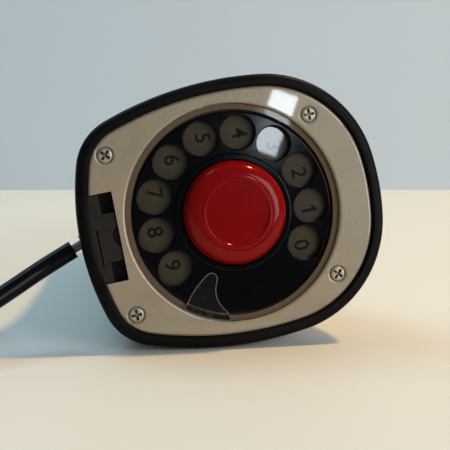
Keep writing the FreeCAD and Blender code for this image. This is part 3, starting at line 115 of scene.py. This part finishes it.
def coil_point(turned_by):
    """A point of the coil, which spirals in on the table and out again on top of itself."""
    half_way = 2 * math.pi * COIL_TURNS
    outside = 1 / math.cos(math.pi / POINTS_PER_TURN)
    radius = outside * (COIL_INNER + COIL_PITCH * abs(turned_by - half_way) / (2 * math.pi))
    share = min(max((turned_by - half_way) / math.pi + 0.5, 0), 1)
    height = COIL_LOW + COIL_PITCH * share * share * (3 - 2 * share)
    angle = -math.pi / 2 - turned_by
    return COIL_MIDDLE + Vector((radius * math.cos(angle), radius * math.sin(angle), height))


def cord_points():
    """The free run, the coil and the straight tail to the plug."""
    turns = 2 * COIL_TURNS + COIL_LAST_TURN
    points = [Vector(point) for point in CORD_ROUTE]
    for i in range(1, round(turns * POINTS_PER_TURN)):
        points.append(coil_point(2 * math.pi * i / POINTS_PER_TURN))
    end = 2 * math.pi * turns
    way = (coil_point(end + END_STEP) - coil_point(end - END_STEP)).normalized()
    reach = COIL_INNER + COIL_PITCH * (COIL_TURNS + COIL_LAST_TURN)
    leaving = COIL_MIDDLE + Vector((-reach, 0, COIL_LOW + COIL_PITCH))
    points += [leaving + way * COIL_TAIL * share for share in (0.0, 0.5, 1.0)]
    return points


def make_cord(name, points, diameter):
    """A round cord along a smooth curve."""
    curve = bpy.data.curves.new(name, "CURVE")
    curve.dimensions = "3D"
    spline = curve.splines.new("NURBS")
    spline.points.add(len(points) - 1)
    for spline_point, place in zip(spline.points, points):
        spline_point.co = (*place, 1.0)
    spline.order_u = CURVE_ORDER
    spline.use_endpoint_u = True
    curve.resolution_u = CORD_RUN_STEPS
    curve.bevel_depth = diameter / 2
    curve.bevel_resolution = CORD_ROUND_STEPS
    curve.use_fill_caps = True
    piece = bpy.data.objects.new(name, curve)
    scene.collection.objects.link(piece)
    return piece


cord_run = cord_points()
cord = make_cord("line_cord", cord_run, CORD_DIAMETER)


# Finishes

COAT_ROUGH = 0.03
EDGE_SAMPLES = 6
HOLLOW_SAMPLES = 8

# Heights of the uneven patches between which colour and gloss change
PATCH_LOW = 0.3
PATCH_HIGH = 0.7

# Sizes of gloss and scratch patches in colour patches, and of dust specks in grains
GLOSS_PATCH = 0.4
SCRATCH_PATCH = 0.5
SCRATCH_STRETCH = (1.0, 22.0, 1.6)
DUST_PATCH = 2.5

# Where dust, scratches and the lighter edges, from wear and a painted highlight, begin and are full
DUST_LOW = 0.62
DUST_HIGH = 0.76
SCRATCH_LOW = 0.66
SCRATCH_HIGH = 0.72
WORN_LIT_LOW = 0.03
WORN_LIT_HIGH = 0.3
WORN_LIT_SHARE = 0.7

# How open a hollow is where its painted shade is full and where it ends
HOLLOW_DEEP = 0.45
HOLLOW_OPEN = 0.92
HOLLOW_SHARE = 0.95

# Ring of the finger stop, in millimetres: its inner radius, its face and how softly each begins
STOP_RING_INNER = 35.5
STOP_RING_SOFT = 0.2
STOP_RING_FACE = 2.7
STOP_FACE_SOFT = 0.08

# Clear plastic of the finger stop: a painted highlight along its edges, painted shade on its ring
STOP_GLOSS_PATCH = 0.006
STOP_HAZE_PATCH = 0.004
STOP_HAZE = 0.96
STOP_EDGE_REACH = 0.0006
STOP_EDGE_LOW = 0.02
STOP_EDGE_HIGH = 0.2
STOP_MILKY_CLEARNESS = 0.2
STOP_BENDING = 1.3

# Coil wire: the length of one wave of the pattern at a scale of 1, and the wire's finish
WAVE_LENGTH = 0.314
WIRE_RELIEF = 0.8
WIRE_METAL = 0.6
WIRE_ROUGH = 0.35


def add(tree, kind, settings=None, **inputs):
    """One step of a finish, with its settings and the values of its inputs."""
    made = tree.nodes.new("ShaderNode" + kind)
    for key, value in (settings or {}).items():
        setattr(made, key, value)
    for key, value in inputs.items():
        made.inputs[key.replace("_", " ")].default_value = value
    return made


def blank(name):
    """A plain finish to build on, with its steps and its surface."""
    material = bpy.data.materials.new(name)
    material.use_nodes = True
    tree = material.node_tree
    return material, tree, tree.nodes["Principled BSDF"]


def ramp(tree, height, stops):
    """A colour that follows a height from 0 to 1 through the given (height, colour) stops."""
    made = add(tree, "ValToRGB")
    elements = made.color_ramp.elements
    while len(elements) < len(stops):
        elements.new(0.5)
    for element, (position, colour) in zip(elements, stops):
        element.position = position
        element.color = (*colour, 1.0)
    tree.links.new(height, made.inputs["Fac"])
    return made.outputs["Color"]


def noise(tree, patch, detail=3.0, stretch=(1, 1, 1)):
    """Uneven heights from 0 to 1 with patches of about the given size, drawn out where stretch is small."""
    coordinates = add(tree, "TexCoord")
    mapping = add(tree, "Mapping", Scale=stretch)
    made = add(tree, "TexNoise", Scale=1 / patch, Detail=detail)
    tree.links.new(coordinates.outputs["Object"], mapping.inputs["Vector"])
    tree.links.new(mapping.outputs["Vector"], made.inputs["Vector"])
    return made.outputs["Fac"]


def blended(tree, share, under, over):
    """A colour that changes to another one by a share."""
    made = add(tree, "Mix", {"data_type": "RGBA"})
    tree.links.new(share, made.inputs["Factor"])
    tree.links.new(under, made.inputs[6])
    made.inputs[7].default_value = (*over, 1.0)
    return made.outputs[2]


def stepped(tree, height, low, high, top=1.0):
    """A share that rises from 0 to top between two heights."""
    made = add(tree, "MapRange", From_Min=low, From_Max=high, To_Min=0.0, To_Max=top)
    tree.links.new(height, made.inputs["Value"])
    return made.outputs["Result"]


def joined(tree, operation, first, second):
    """One share made from two."""
    made = add(tree, "Math", {"operation": operation})
    tree.links.new(first, made.inputs[0])
    tree.links.new(second, made.inputs[1])
    return made.outputs["Value"]


def uneven_gloss(tree, rough, heights):
    """A roughness between two values that follows uneven heights."""
    made = add(tree, "MapRange", From_Min=PATCH_LOW, From_Max=PATCH_HIGH, To_Min=rough[0], To_Max=rough[1])
    tree.links.new(heights, made.inputs["Value"])
    return made.outputs["Result"]


def edges(tree, reach):
    """A share that rises along the edges of a piece and is 0 beyond the reach."""
    softened = add(tree, "Bevel", {"samples": EDGE_SAMPLES}, Radius=reach)
    plain = add(tree, "NewGeometry")
    alike = add(tree, "VectorMath", {"operation": "DOT_PRODUCT"})
    tree.links.new(softened.outputs["Normal"], alike.inputs[0])
    tree.links.new(plain.outputs["Normal"], alike.inputs[1])
    turned = add(tree, "Math", {"operation": "SUBTRACT"})
    turned.inputs[0].default_value = 1.0
    tree.links.new(alike.outputs["Value"], turned.inputs[1])
    return turned.outputs["Value"]


def hollows(tree, reach):
    """A share that is near 1 deep in the recesses of a piece and 0 on its open faces."""
    openness = add(tree, "AmbientOcclusion", {"samples": HOLLOW_SAMPLES, "only_local": True}, Distance=reach)
    made = add(tree, "MapRange", From_Min=HOLLOW_DEEP, From_Max=HOLLOW_OPEN, To_Min=HOLLOW_SHARE, To_Max=0.0)
    tree.links.new(openness.outputs["AO"], made.inputs["Value"])
    return made.outputs["Result"]


def finish(name, pale, deep, rough, patch, grain, grain_height, metal=0.0, coat=0.0, stretch=(1, 1, 1),
           dust=None, dust_share=0.5, scratch=0.0, gleam=0.5, worn_and_lit=None, worn_and_lit_reach=0.0005,
           hollow_shade=None, hollow_shade_reach=0.001):
    """A finish with uneven colour and gloss, a fine grain, dust, painted shade in hollows, hairline scratches
    and edges lightened by wear and a painted highlight.
    """
    material, tree, shader = blank(name)
    patches = noise(tree, patch, detail=4.0, stretch=stretch)
    colour = ramp(tree, patches, [(PATCH_LOW, deep), (PATCH_HIGH, pale)])
    if dust:
        specks = noise(tree, grain * DUST_PATCH, detail=2.0)
        colour = blended(tree, stepped(tree, specks, DUST_LOW, DUST_HIGH, dust_share), colour, dust)
    # Edges turn lighter, partly as wear and partly as a painted highlight where edges catch light.
    if worn_and_lit:
        rubbed_and_lit = stepped(tree, edges(tree, worn_and_lit_reach), WORN_LIT_LOW, WORN_LIT_HIGH, WORN_LIT_SHARE)
        colour = blended(tree, rubbed_and_lit, colour, worn_and_lit)
    # Painted shade: the colour darkens deep in the hollows of the piece.
    if hollow_shade:
        colour = blended(tree, hollows(tree, hollow_shade_reach), colour, hollow_shade)
    roughness = uneven_gloss(tree, rough, noise(tree, patch * GLOSS_PATCH, detail=5.0, stretch=stretch))
    if scratch:
        hairlines = noise(tree, patch * SCRATCH_PATCH, detail=6.0, stretch=SCRATCH_STRETCH)
        lines = stepped(tree, hairlines, SCRATCH_LOW, SCRATCH_HIGH, scratch)
        roughness = joined(tree, "ADD", roughness, lines)
    bump = add(tree, "Bump", Strength=1.0, Distance=grain_height)
    tree.links.new(noise(tree, grain, detail=2.0, stretch=stretch), bump.inputs["Height"])
    tree.links.new(colour, shader.inputs["Base Color"])
    tree.links.new(roughness, shader.inputs["Roughness"])
    tree.links.new(bump.outputs["Normal"], shader.inputs["Normal"])
    shader.inputs["Metallic"].default_value = metal
    shader.inputs["Specular IOR Level"].default_value = gleam
    shader.inputs["Coat Weight"].default_value = coat
    shader.inputs["Coat Roughness"].default_value = COAT_ROUGH
    return material


def stop_ring(tree):
    """A share that is 1 on the ring of the finger stop, outside its inner radius and behind its face."""
    coordinates = add(tree, "TexCoord")
    arm = add(tree, "VectorMath", {"operation": "SUBTRACT"})
    arm.inputs[1].default_value = DIAL_SPOT
    across = add(tree, "VectorMath", {"operation": "CROSS_PRODUCT"})
    across.inputs[1].default_value = INWARD
    radius = add(tree, "VectorMath", {"operation": "LENGTH"})
    depth = add(tree, "VectorMath", {"operation": "DOT_PRODUCT"})
    depth.inputs[1].default_value = INWARD
    tree.links.new(coordinates.outputs["Object"], arm.inputs[0])
    tree.links.new(arm.outputs["Vector"], across.inputs[0])
    tree.links.new(across.outputs["Vector"], radius.inputs[0])
    tree.links.new(arm.outputs["Vector"], depth.inputs[0])
    inner_end = STOP_RING_INNER + STOP_RING_SOFT
    face_end = STOP_RING_FACE + STOP_FACE_SOFT
    outside = stepped(tree, radius.outputs["Value"], STOP_RING_INNER * MM, inner_end * MM)
    behind = stepped(tree, depth.outputs["Value"], STOP_RING_FACE * MM, face_end * MM)
    return joined(tree, "MULTIPLY", outside, behind)


def clear_plastic(name, tint, edge, band, rough):
    """A clear moulding with pale, less clear edges as a painted highlight, on a milky ring that lies deeper
    in the well, painted dark beige as the shade of the well wall.
    """
    material, tree, shader = blank(name)
    gloss = uneven_gloss(tree, rough, noise(tree, STOP_GLOSS_PATCH, detail=4.0))
    tree.links.new(gloss, shader.inputs["Roughness"])
    hazy = tuple(STOP_HAZE * share for share in tint)
    haze = ramp(tree, noise(tree, STOP_HAZE_PATCH), [(PATCH_LOW, hazy), (PATCH_HIGH, tint)])
    # Painted highlight: near its edges the moulding turns pale and less clear, as edges that catch light.
    highlight_rim = stepped(tree, edges(tree, STOP_EDGE_REACH), STOP_EDGE_LOW, STOP_EDGE_HIGH)
    # Painted shade: the ring takes a dark beige, the well wall's colour in shade.
    ring = stop_ring(tree)
    colour = blended(tree, ring, blended(tree, highlight_rim, haze, edge), band)
    tree.links.new(colour, shader.inputs["Base Color"])
    clear = add(tree, "MapRange", From_Min=0.0, From_Max=1.0, To_Min=1.0, To_Max=STOP_MILKY_CLEARNESS)
    tree.links.new(joined(tree, "MAXIMUM", highlight_rim, ring), clear.inputs["Value"])
    tree.links.new(clear.outputs["Result"], shader.inputs["Transmission Weight"])
    shader.inputs["IOR"].default_value = STOP_BENDING
    return material


def turned_wire(name, pale, deep, wire):
    """Rows of thin wire side by side."""
    material, tree, shader = blank(name)
    coordinates = add(tree, "TexCoord")
    rows = add(tree, "TexWave", {"bands_direction": "Y"}, Scale=WAVE_LENGTH / wire, Distortion=0.0)
    tree.links.new(coordinates.outputs["Object"], rows.inputs["Vector"])
    # The colour darkens in the grooves between the wires, where the bump falls: painted shade.
    tree.links.new(ramp(tree, rows.outputs["Fac"], [(0.0, deep), (0.6, pale)]), shader.inputs["Base Color"])
    bump = add(tree, "Bump", Strength=WIRE_RELIEF, Distance=wire / 2)
    tree.links.new(rows.outputs["Fac"], bump.inputs["Height"])
    tree.links.new(bump.outputs["Normal"], shader.inputs["Normal"])
    shader.inputs["Metallic"].default_value = WIRE_METAL
    shader.inputs["Roughness"].default_value = WIRE_ROUGH
    return material


# Edge colours below lighten edges as wear and as a painted highlight; hollow colours darken recesses as
# painted shade.
case_plastic = finish(
    "case_plastic", pale=(0.33, 0.265, 0.18), deep=(0.295, 0.235, 0.155), rough=(0.22, 0.34), patch=0.02,
    grain=0.0007, grain_height=0.000003, coat=0.5, dust=(0.38, 0.32, 0.24), dust_share=0.25, scratch=0.12,
    worn_and_lit=(0.42, 0.36, 0.27),
)
plate_plastic = finish(
    "plate_plastic", pale=(0.33, 0.262, 0.178), deep=(0.297, 0.234, 0.155), rough=(0.24, 0.34), patch=0.015,
    grain=0.0006, grain_height=0.000002, coat=1.0, dust=(0.37, 0.31, 0.23), dust_share=0.3, scratch=0.15,
    worn_and_lit=(0.43, 0.36, 0.27),
)
foot_rubber = finish(
    "foot_rubber", pale=(0.0028, 0.0026, 0.0028), deep=(0.0018, 0.0016, 0.0018), rough=(0.35, 0.5),
    patch=0.008, grain=0.0004, grain_height=0.000008, dust=(0.006, 0.006, 0.006), dust_share=0.2,
    gleam=0.08, worn_and_lit=(0.006, 0.006, 0.006),
)
wheel_plastic = finish(
    "wheel_plastic", pale=(0.0022, 0.002, 0.0023), deep=(0.0014, 0.0012, 0.0015), rough=(0.08, 0.12),
    patch=0.01, grain=0.0006, grain_height=0.000002, dust=(0.006, 0.006, 0.0065), dust_share=0.15,
    scratch=0.1, gleam=0.12,
)
# The discs' grey-beige is darkened far below the plate's beige: painted shade of their recess under the
# wheel.
shaded_disc_plastic = finish(
    "shaded_disc_plastic", pale=(0.056, 0.040, 0.018), deep=(0.044, 0.031, 0.013), rough=(0.25, 0.35), patch=0.004,
    grain=0.0005, grain_height=0.000002, coat=0.7, dust=(0.064, 0.048, 0.024), dust_share=0.15, gleam=0.1,
)
button_plastic = finish(
    "button_plastic", pale=(0.215, 0.0014, 0.002), deep=(0.19, 0.001, 0.0015), rough=(0.1, 0.15), patch=0.008,
    grain=0.0006, grain_height=0.000002, coat=0.12, dust=(0.21, 0.006, 0.007), dust_share=0.15, scratch=0.06,
    gleam=0.1, worn_and_lit=(0.25, 0.005, 0.006),
)
# The block's notches get painted shade in their hollows.
block_plastic = finish(
    "block_plastic", pale=(0.024, 0.0185, 0.016), deep=(0.0145, 0.0105, 0.009), rough=(0.4, 0.55),
    patch=0.004, grain=0.0004, grain_height=0.000006, dust=(0.045, 0.037, 0.033), dust_share=0.3,
    gleam=0.15, worn_and_lit=(0.035, 0.029, 0.026), hollow_shade=(0.002, 0.0017, 0.0015), hollow_shade_reach=0.005,
)
# The screws' cross recesses get painted shade in their hollows.
screw_metal = finish(
    "screw_metal", pale=(0.46, 0.41, 0.33), deep=(0.36, 0.31, 0.24), rough=(0.28, 0.42), patch=0.0015,
    grain=0.00025, grain_height=0.000002, metal=0.5, worn_and_lit=(0.55, 0.5, 0.42), worn_and_lit_reach=0.0002,
    hollow_shade=(0.008, 0.007, 0.006), hollow_shade_reach=0.0018,
)
steel = finish(
    "steel", pale=(0.52, 0.52, 0.53), deep=(0.42, 0.42, 0.43), rough=(0.25, 0.38), patch=0.004,
    grain=0.0003, grain_height=0.000003, metal=1.0, stretch=(1, 6, 6),
)
brass = finish(
    "brass", pale=(0.64, 0.46, 0.18), deep=(0.5, 0.34, 0.12), rough=(0.22, 0.36), patch=0.005,
    grain=0.0003, grain_height=0.000003, metal=1.0,
)
alloy = finish(
    "alloy", pale=(0.6, 0.6, 0.61), deep=(0.5, 0.5, 0.52), rough=(0.35, 0.5), patch=0.006,
    grain=0.0004, grain_height=0.000008, metal=1.0,
)
board_sheet = finish(
    "board_sheet", pale=(0.16, 0.085, 0.035), deep=(0.1, 0.05, 0.02), rough=(0.45, 0.6), patch=0.003,
    grain=0.0004, grain_height=0.00001, stretch=(1, 8, 1),
)
black_moulding = finish(
    "black_moulding", pale=(0.014, 0.014, 0.015), deep=(0.009, 0.009, 0.01), rough=(0.3, 0.45), patch=0.006,
    grain=0.0005, grain_height=0.000006, dust=(0.05, 0.05, 0.05), dust_share=0.2, worn_and_lit=(0.04, 0.04, 0.04),
)
tie_band = finish(
    "tie_band", pale=(0.02, 0.02, 0.021), deep=(0.01, 0.01, 0.011), rough=(0.6, 0.8), patch=0.0012,
    grain=0.0005, grain_height=0.00008, stretch=(1, 0.4, 0.4),
)
sheath_plastic = finish(
    "sheath_plastic", pale=(0.17, 0.165, 0.13), deep=(0.13, 0.126, 0.1), rough=(0.4, 0.55), patch=0.003,
    grain=0.0004, grain_height=0.000008,
)
cord_jacket = finish(
    "cord_jacket", pale=(0.004, 0.0042, 0.0047), deep=(0.0026, 0.0027, 0.003), rough=(0.12, 0.18), patch=0.01,
    grain=0.0007, grain_height=0.000004, dust=(0.006, 0.006, 0.006), dust_share=0.15, gleam=0.08,
)
number_ink = finish(
    "number_ink", pale=(0.0018, 0.0018, 0.0018), deep=(0.001, 0.001, 0.001), rough=(0.4, 0.5), patch=0.002,
    grain=0.0003, grain_height=0.000002, coat=0.6, gleam=0.05,
)
# Its pale edge colour is a painted highlight and its band colour is painted shade in the well.
stop_plastic = clear_plastic(
    "stop_plastic", tint=(0.93, 0.91, 0.87), edge=(0.2, 0.2, 0.19), band=(0.15, 0.1, 0.064),
    rough=(0.03, 0.07),
)
winding_wire = turned_wire("winding_wire", pale=(0.5, 0.2, 0.08), deep=(0.12, 0.04, 0.02), wire=0.0004)

NODE_FINISH = {
    case_plastic: ["case_shell", "ear_cap"],
    plate_plastic: ["base_plate"],
    foot_rubber: ["base_ring", "receiver_ring", "cord_grommet"],
    wheel_plastic: ["finger_wheel"],
    shaded_disc_plastic: ["number_plate"],
    button_plastic: ["hook_button"],
    block_plastic: ["terminal_block", "pulse_cam", "hook_lever", "hook_contacts", "pulse_contacts"],
    screw_metal: ["base_screws"],
    stop_plastic: ["finger_stop"],
    steel: ["stem_collar", "stem_spring", "return_spring", "idler_pinion", "idler_shaft", "governor_shaft",
            "governor_pinion", "bridge_posts", "lever_pin", "board_posts", "coil_core"],
    brass: ["dial_shaft", "dial_bush", "main_gear", "idler_wheel", "governor_arm", "governor_weights",
            "plug_pins"],
    alloy: ["dial_frame", "governor_drum", "bridge_plate", "lever_bracket", "capacitor",
            "transmitter_capsule", "receiver_capsule"],
    board_sheet: ["network_board"],
    black_moulding: ["button_stem", "ringer", "transmitter_cup", "plug_body"],
    sheath_plastic: ["cord_sheath", "receiver_lead"],
    winding_wire: ["coil_winding"],
}


def dress(piece, material):
    """Gives a piece one finish."""
    piece.data.materials.clear()
    piece.data.materials.append(material)


for material, names in NODE_FINISH.items():
    for name in names:
        dress(nodes[name], material)
dress(cord, cord_jacket)
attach(cord, "telephone")
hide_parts("cord_lead", "cord_coil")


# Tie round the coil and the boot on the plug

TIE_SHEET = 0.001
TIE_CORNER = 0.0042
TIE_EDGE = 0.0004
TIE_CORNER_STEPS = 8
TIE_EDGE_STEPS = 2
BOOT_LENGTH = 0.02
BOOT_RIBS = 5
BOOT_FOOT = 0.0056
BOOT_END = 0.0038
BOOT_GROOVE = 0.0007
BOOT_GROOVE_FADE = 0.6
BOOT_ROUND_STEPS = 40
MERGE_REACH = 1e-7

# One rib of the boot: the shares of its length where its top and its groove begin and end
RIB_TOP = (0.1, 0.6)
RIB_GROOVE = (0.68, 0.92)


def placed(name, shape, material):
    """Turns a finished shape into a piece of the telephone."""
    bmesh.ops.remove_doubles(shape, verts=shape.verts, dist=MERGE_REACH)
    bmesh.ops.recalc_face_normals(shape, faces=shape.faces)
    mesh = bpy.data.meshes.new(name)
    shape.to_mesh(mesh)
    shape.free()
    mesh.shade_smooth()
    piece = bpy.data.objects.new(name, mesh)
    scene.collection.objects.link(piece)
    dress(piece, material)
    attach(piece, "telephone")
    return piece


def rounded(shape, wanted, radius, steps):
    bmesh.ops.bevel(shape, geom=wanted, offset=radius, offset_type="OFFSET", affect="EDGES", segments=steps,
                    profile=0.5, material=-1)


def looks_sideways(face):
    """True for a face on either side of the tie's band."""
    return abs(face.normal.x) > 0.5


def tie_piece():
    """A band with rounded corners in the upright plane across the coil's turns."""
    low, high = (Vector(corner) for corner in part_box("cord_tie"))
    middle = (low + high) / 2
    shape = bmesh.new()
    place = Matrix.Translation(middle) @ Matrix.Diagonal((*(high - low), 1.0))
    bmesh.ops.create_cube(shape, size=1.0, matrix=place)
    sides = [face for face in shape.faces if looks_sideways(face)]
    bmesh.ops.delete(shape, geom=sides, context="FACES_ONLY")
    corners = [edge for edge in shape.edges if not edge.is_boundary]
    rounded(shape, corners, TIE_CORNER, TIE_CORNER_STEPS)
    bmesh.ops.recalc_face_normals(shape, faces=shape.faces)
    bmesh.ops.solidify(shape, geom=shape.faces[:], thickness=TIE_SHEET)
    shape.normal_update()
    rims = [edge for edge in shape.edges if sum(looks_sideways(face) for face in edge.link_faces) == 1]
    rounded(shape, rims, TIE_EDGE, TIE_EDGE_STEPS)
    piece = placed("coil_tie", shape, tie_band)
    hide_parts("cord_tie")
    return piece


def boot_piece(foot, way):
    """A ribbed boot that narrows from the plug along the cord."""
    profile = [(CORD_DIAMETER / 2, 0.0), (BOOT_FOOT, 0.0)]
    for rib in range(BOOT_RIBS):
        for share in RIB_TOP + RIB_GROOVE:
            along = (rib + share) / BOOT_RIBS
            radius = BOOT_FOOT + (BOOT_END - BOOT_FOOT) * along
            if share in RIB_GROOVE:
                radius -= BOOT_GROOVE * (1 - BOOT_GROOVE_FADE * along)
            profile.append((radius, along * BOOT_LENGTH))
    profile += [(BOOT_END, BOOT_LENGTH), (CORD_DIAMETER / 2, BOOT_LENGTH)]
    shape = bmesh.new()
    turning = way.to_track_quat("Z", "Y").to_matrix().to_4x4()
    place = Matrix.Translation(foot) @ turning
    corners = [shape.verts.new(place @ Vector((radius, 0, along))) for radius, along in profile]
    lines = [shape.edges.new(pair) for pair in zip(corners, corners[1:] + corners[:1])]
    bmesh.ops.spin(shape, geom=corners + lines, cent=foot, axis=way, angle=2 * math.pi,
                   steps=BOOT_ROUND_STEPS, use_merge=True)
    return placed("plug_boot", shape, black_moulding)


coil_tie = tie_piece()
before_end, cord_end = cord_run[-2:]
plug_boot = boot_piece(cord_end, (before_end - cord_end).normalized())


# Numbers under the finger holes

HOLE_CIRCLE = 28.1
FIRST_HOLE = -33.7
HOLE_STEP = 27.4
NUMBER_HEIGHT = 5.6
NUMBER_TURN = 2.4
NUMBER_DEPTH = 6.4
INK_RISE = 0.02
INK_SINK = 0.05
INK_SPREAD = 0.1
TYPE_SIZE = 1.38

# Corners of the one, to the right and up, in heights of a number
ONE_CORNERS = ((0.1, 0.0), (0.1, 1.0), (-0.06, 1.0), (-0.3, 0.8), (-0.3, 0.6), (-0.1, 0.75), (-0.1, 0.0))

# The numbers face out of the well, with their tops to the front of the telephone
NUMBER_FACING = Matrix(((0, 1, 0), (1, 0, 0), (0, 0, -1))).to_4x4()


def printed_one():
    """A one with a flag at its top."""
    outline = bpy.data.curves.new("number_1", "CURVE")
    outline.dimensions = "2D"
    outline.fill_mode = "BOTH"
    spline = outline.splines.new("POLY")
    spline.points.add(len(ONE_CORNERS) - 1)
    for spline_point, (right, up) in zip(spline.points, ONE_CORNERS):
        spline_point.co = (right * NUMBER_HEIGHT, up * NUMBER_HEIGHT, 0.0, 1.0)
    spline.use_cyclic_u = True
    return outline


def printed_number(number):
    """Any other number, in plain type."""
    text = bpy.data.curves.new(f"number_{number}", "FONT")
    text.body = str(number)
    text.align_x = "CENTER"
    text.align_y = "CENTER"
    text.size = NUMBER_HEIGHT * TYPE_SIZE
    text.offset = INK_SPREAD
    return text


def mesh_middle(mesh):
    """The middle of a mesh's box."""
    places = [vertex.co for vertex in mesh.vertices]
    low = Vector(min(place[i] for place in places) for i in range(3))
    high = Vector(max(place[i] for place in places) for i in range(3))
    return (low + high) / 2


def number_piece(number):
    """A number printed on its disc, centred under its finger hole."""
    outline = printed_one() if number == 1 else printed_number(number)
    outline.extrude = (INK_RISE + INK_SINK) / 2
    holder = bpy.data.objects.new("holder", outline)
    scene.collection.objects.link(holder)
    mesh = bpy.data.meshes.new_from_object(holder.evaluated_get(bpy.context.evaluated_depsgraph_get()))
    bpy.data.objects.remove(holder)
    angle = math.radians(-FIRST_HOLE + NUMBER_TURN - HOLE_STEP * number)
    middle = Vector((HOLE_CIRCLE * math.cos(angle), HOLE_CIRCLE * math.sin(angle), NUMBER_DEPTH))
    lift = Vector((0, 0, (INK_RISE - INK_SINK) / 2))
    centre = mesh_middle(mesh)
    mesh.transform(Matrix.Translation(lift - Vector((centre.x, centre.y, 0))))
    mesh.transform(Matrix.Translation(middle) @ NUMBER_FACING)
    mesh.transform(LAY @ Matrix.Scale(MM, 4))
    mesh.name = f"number_{number}"
    piece = bpy.data.objects.new(f"number_{number}", mesh)
    scene.collection.objects.link(piece)
    dress(piece, number_ink)
    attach(piece, "telephone")


for number in range(10):
    number_piece(number)


# Table, backdrop and light

TABLE_SIDE = 1.8
TABLE_NEAR = -0.3
TABLE_FAR = 1.6
TABLE_COLOUR = (0.76, 0.75, 0.72)
TABLE_SHADE = 0.97
TABLE_PATCH = 0.3
TABLE_ROUGH = 0.5
TABLE_GLEAM = 0.2
WALL_COLOUR = (0.53, 0.62, 0.72)
WALL_ROUGH = 0.9
WALL_DISTANCE = 0.824
WALL_HALF = 6.0
WALL_HEIGHT = 4.0
SKY_COLOUR = (0.15, 0.19, 0.22)
PHONE_MIDDLE = (0.0, -0.05, 0.05)
OVERHEAD_AIM = (-0.05, 0.0, 0.0)
GLARE_SPOT = (0.0169, -0.0998, 0.0774)


def stage_sheet(name, corners, material):
    """A flat sheet that belongs to the room."""
    shape = bmesh.new()
    shape.faces.new([shape.verts.new(corner) for corner in corners])
    mesh = bpy.data.meshes.new(name)
    shape.to_mesh(mesh)
    shape.free()
    piece = bpy.data.objects.new(name, mesh)
    scene.collection.objects.link(piece)
    mesh.materials.append(material)


def table_finish():
    """A pale table top with faint uneven patches."""
    material, tree, shader = blank("table")
    deep = tuple(TABLE_SHADE * share for share in TABLE_COLOUR)
    colour = ramp(tree, noise(tree, TABLE_PATCH), [(PATCH_LOW, deep), (PATCH_HIGH, TABLE_COLOUR)])
    tree.links.new(colour, shader.inputs["Base Color"])
    shader.inputs["Roughness"].default_value = TABLE_ROUGH
    shader.inputs["Specular IOR Level"].default_value = TABLE_GLEAM
    return material


def wall_finish():
    """A backdrop that shows from its front alone, so that it stands in no other view."""
    material, tree, shader = blank("wall")
    shader.inputs["Base Color"].default_value = (*WALL_COLOUR, 1.0)
    shader.inputs["Roughness"].default_value = WALL_ROUGH
    clear = add(tree, "BsdfTransparent")
    side = add(tree, "NewGeometry")
    choice = add(tree, "MixShader")
    tree.links.new(side.outputs["Backfacing"], choice.inputs["Fac"])
    tree.links.new(shader.outputs["BSDF"], choice.inputs[1])
    tree.links.new(clear.outputs["BSDF"], choice.inputs[2])
    tree.links.new(choice.outputs["Shader"], tree.nodes["Material Output"].inputs["Surface"])
    return material


def lamp(name, spot, aim, size, power, colour, roll=0.0):
    """A rectangular lamp that faces its aim, rolled about the way it faces."""
    data = bpy.data.lights.new(name, "AREA")
    data.shape = "RECTANGLE"
    data.size, data.size_y = size
    data.energy = power
    data.color = colour
    made = bpy.data.objects.new(name, data)
    made.location = spot
    facing = (Vector(aim) - Vector(spot)).to_track_quat("-Z", "Y").to_matrix()
    made.rotation_euler = (facing @ Matrix.Rotation(roll, 3, "Z")).to_euler()
    made.visible_camera = False
    scene.collection.objects.link(made)


def sky(light):
    """Even light from all round."""
    world = bpy.data.worlds.new("sky")
    scene.world = world
    world.use_nodes = True
    world.node_tree.nodes["Background"].inputs["Color"].default_value = (*light, 1.0)


stage_sheet("table", [(-TABLE_SIDE, TABLE_NEAR, 0), (TABLE_SIDE, TABLE_NEAR, 0),
                      (TABLE_SIDE, TABLE_FAR, 0), (-TABLE_SIDE, TABLE_FAR, 0)], table_finish())
flat_way = Vector((CAMERA_WAY.x, CAMERA_WAY.y, 0)).normalized()
across = Vector((flat_way.y, -flat_way.x, 0))
wall_foot = Vector((CAMERA_SPOT[0], CAMERA_SPOT[1], 0)) + flat_way * WALL_DISTANCE
wall_top = wall_foot + Vector((0, 0, WALL_HEIGHT))
stage_sheet("wall", [wall_foot - across * WALL_HALF, wall_foot + across * WALL_HALF,
                     wall_top + across * WALL_HALF, wall_top - across * WALL_HALF], wall_finish())
lamp("key", (0.61, -0.05, 1.198), PHONE_MIDDLE, size=(0.1, 0.1), power=11.0, colour=(1.0, 0.66, 0.28))
lamp("fill", (0.95, -1.25, 0.45), PHONE_MIDDLE, size=(0.9, 0.9), power=14.0, colour=(1.0, 0.98, 0.95))
lamp("overhead", (-0.45, 0.3, 0.95), OVERHEAD_AIM, size=(0.6, 0.6), power=5.0, colour=(0.5, 0.84, 1.0))
lamp("window", (0.2222, -0.9651, 0.2153), GLARE_SPOT, size=(0.033, 0.077), power=0.16,
     colour=(0.8, 0.92, 1.0), roll=-0.38)
sky(SKY_COLOUR)
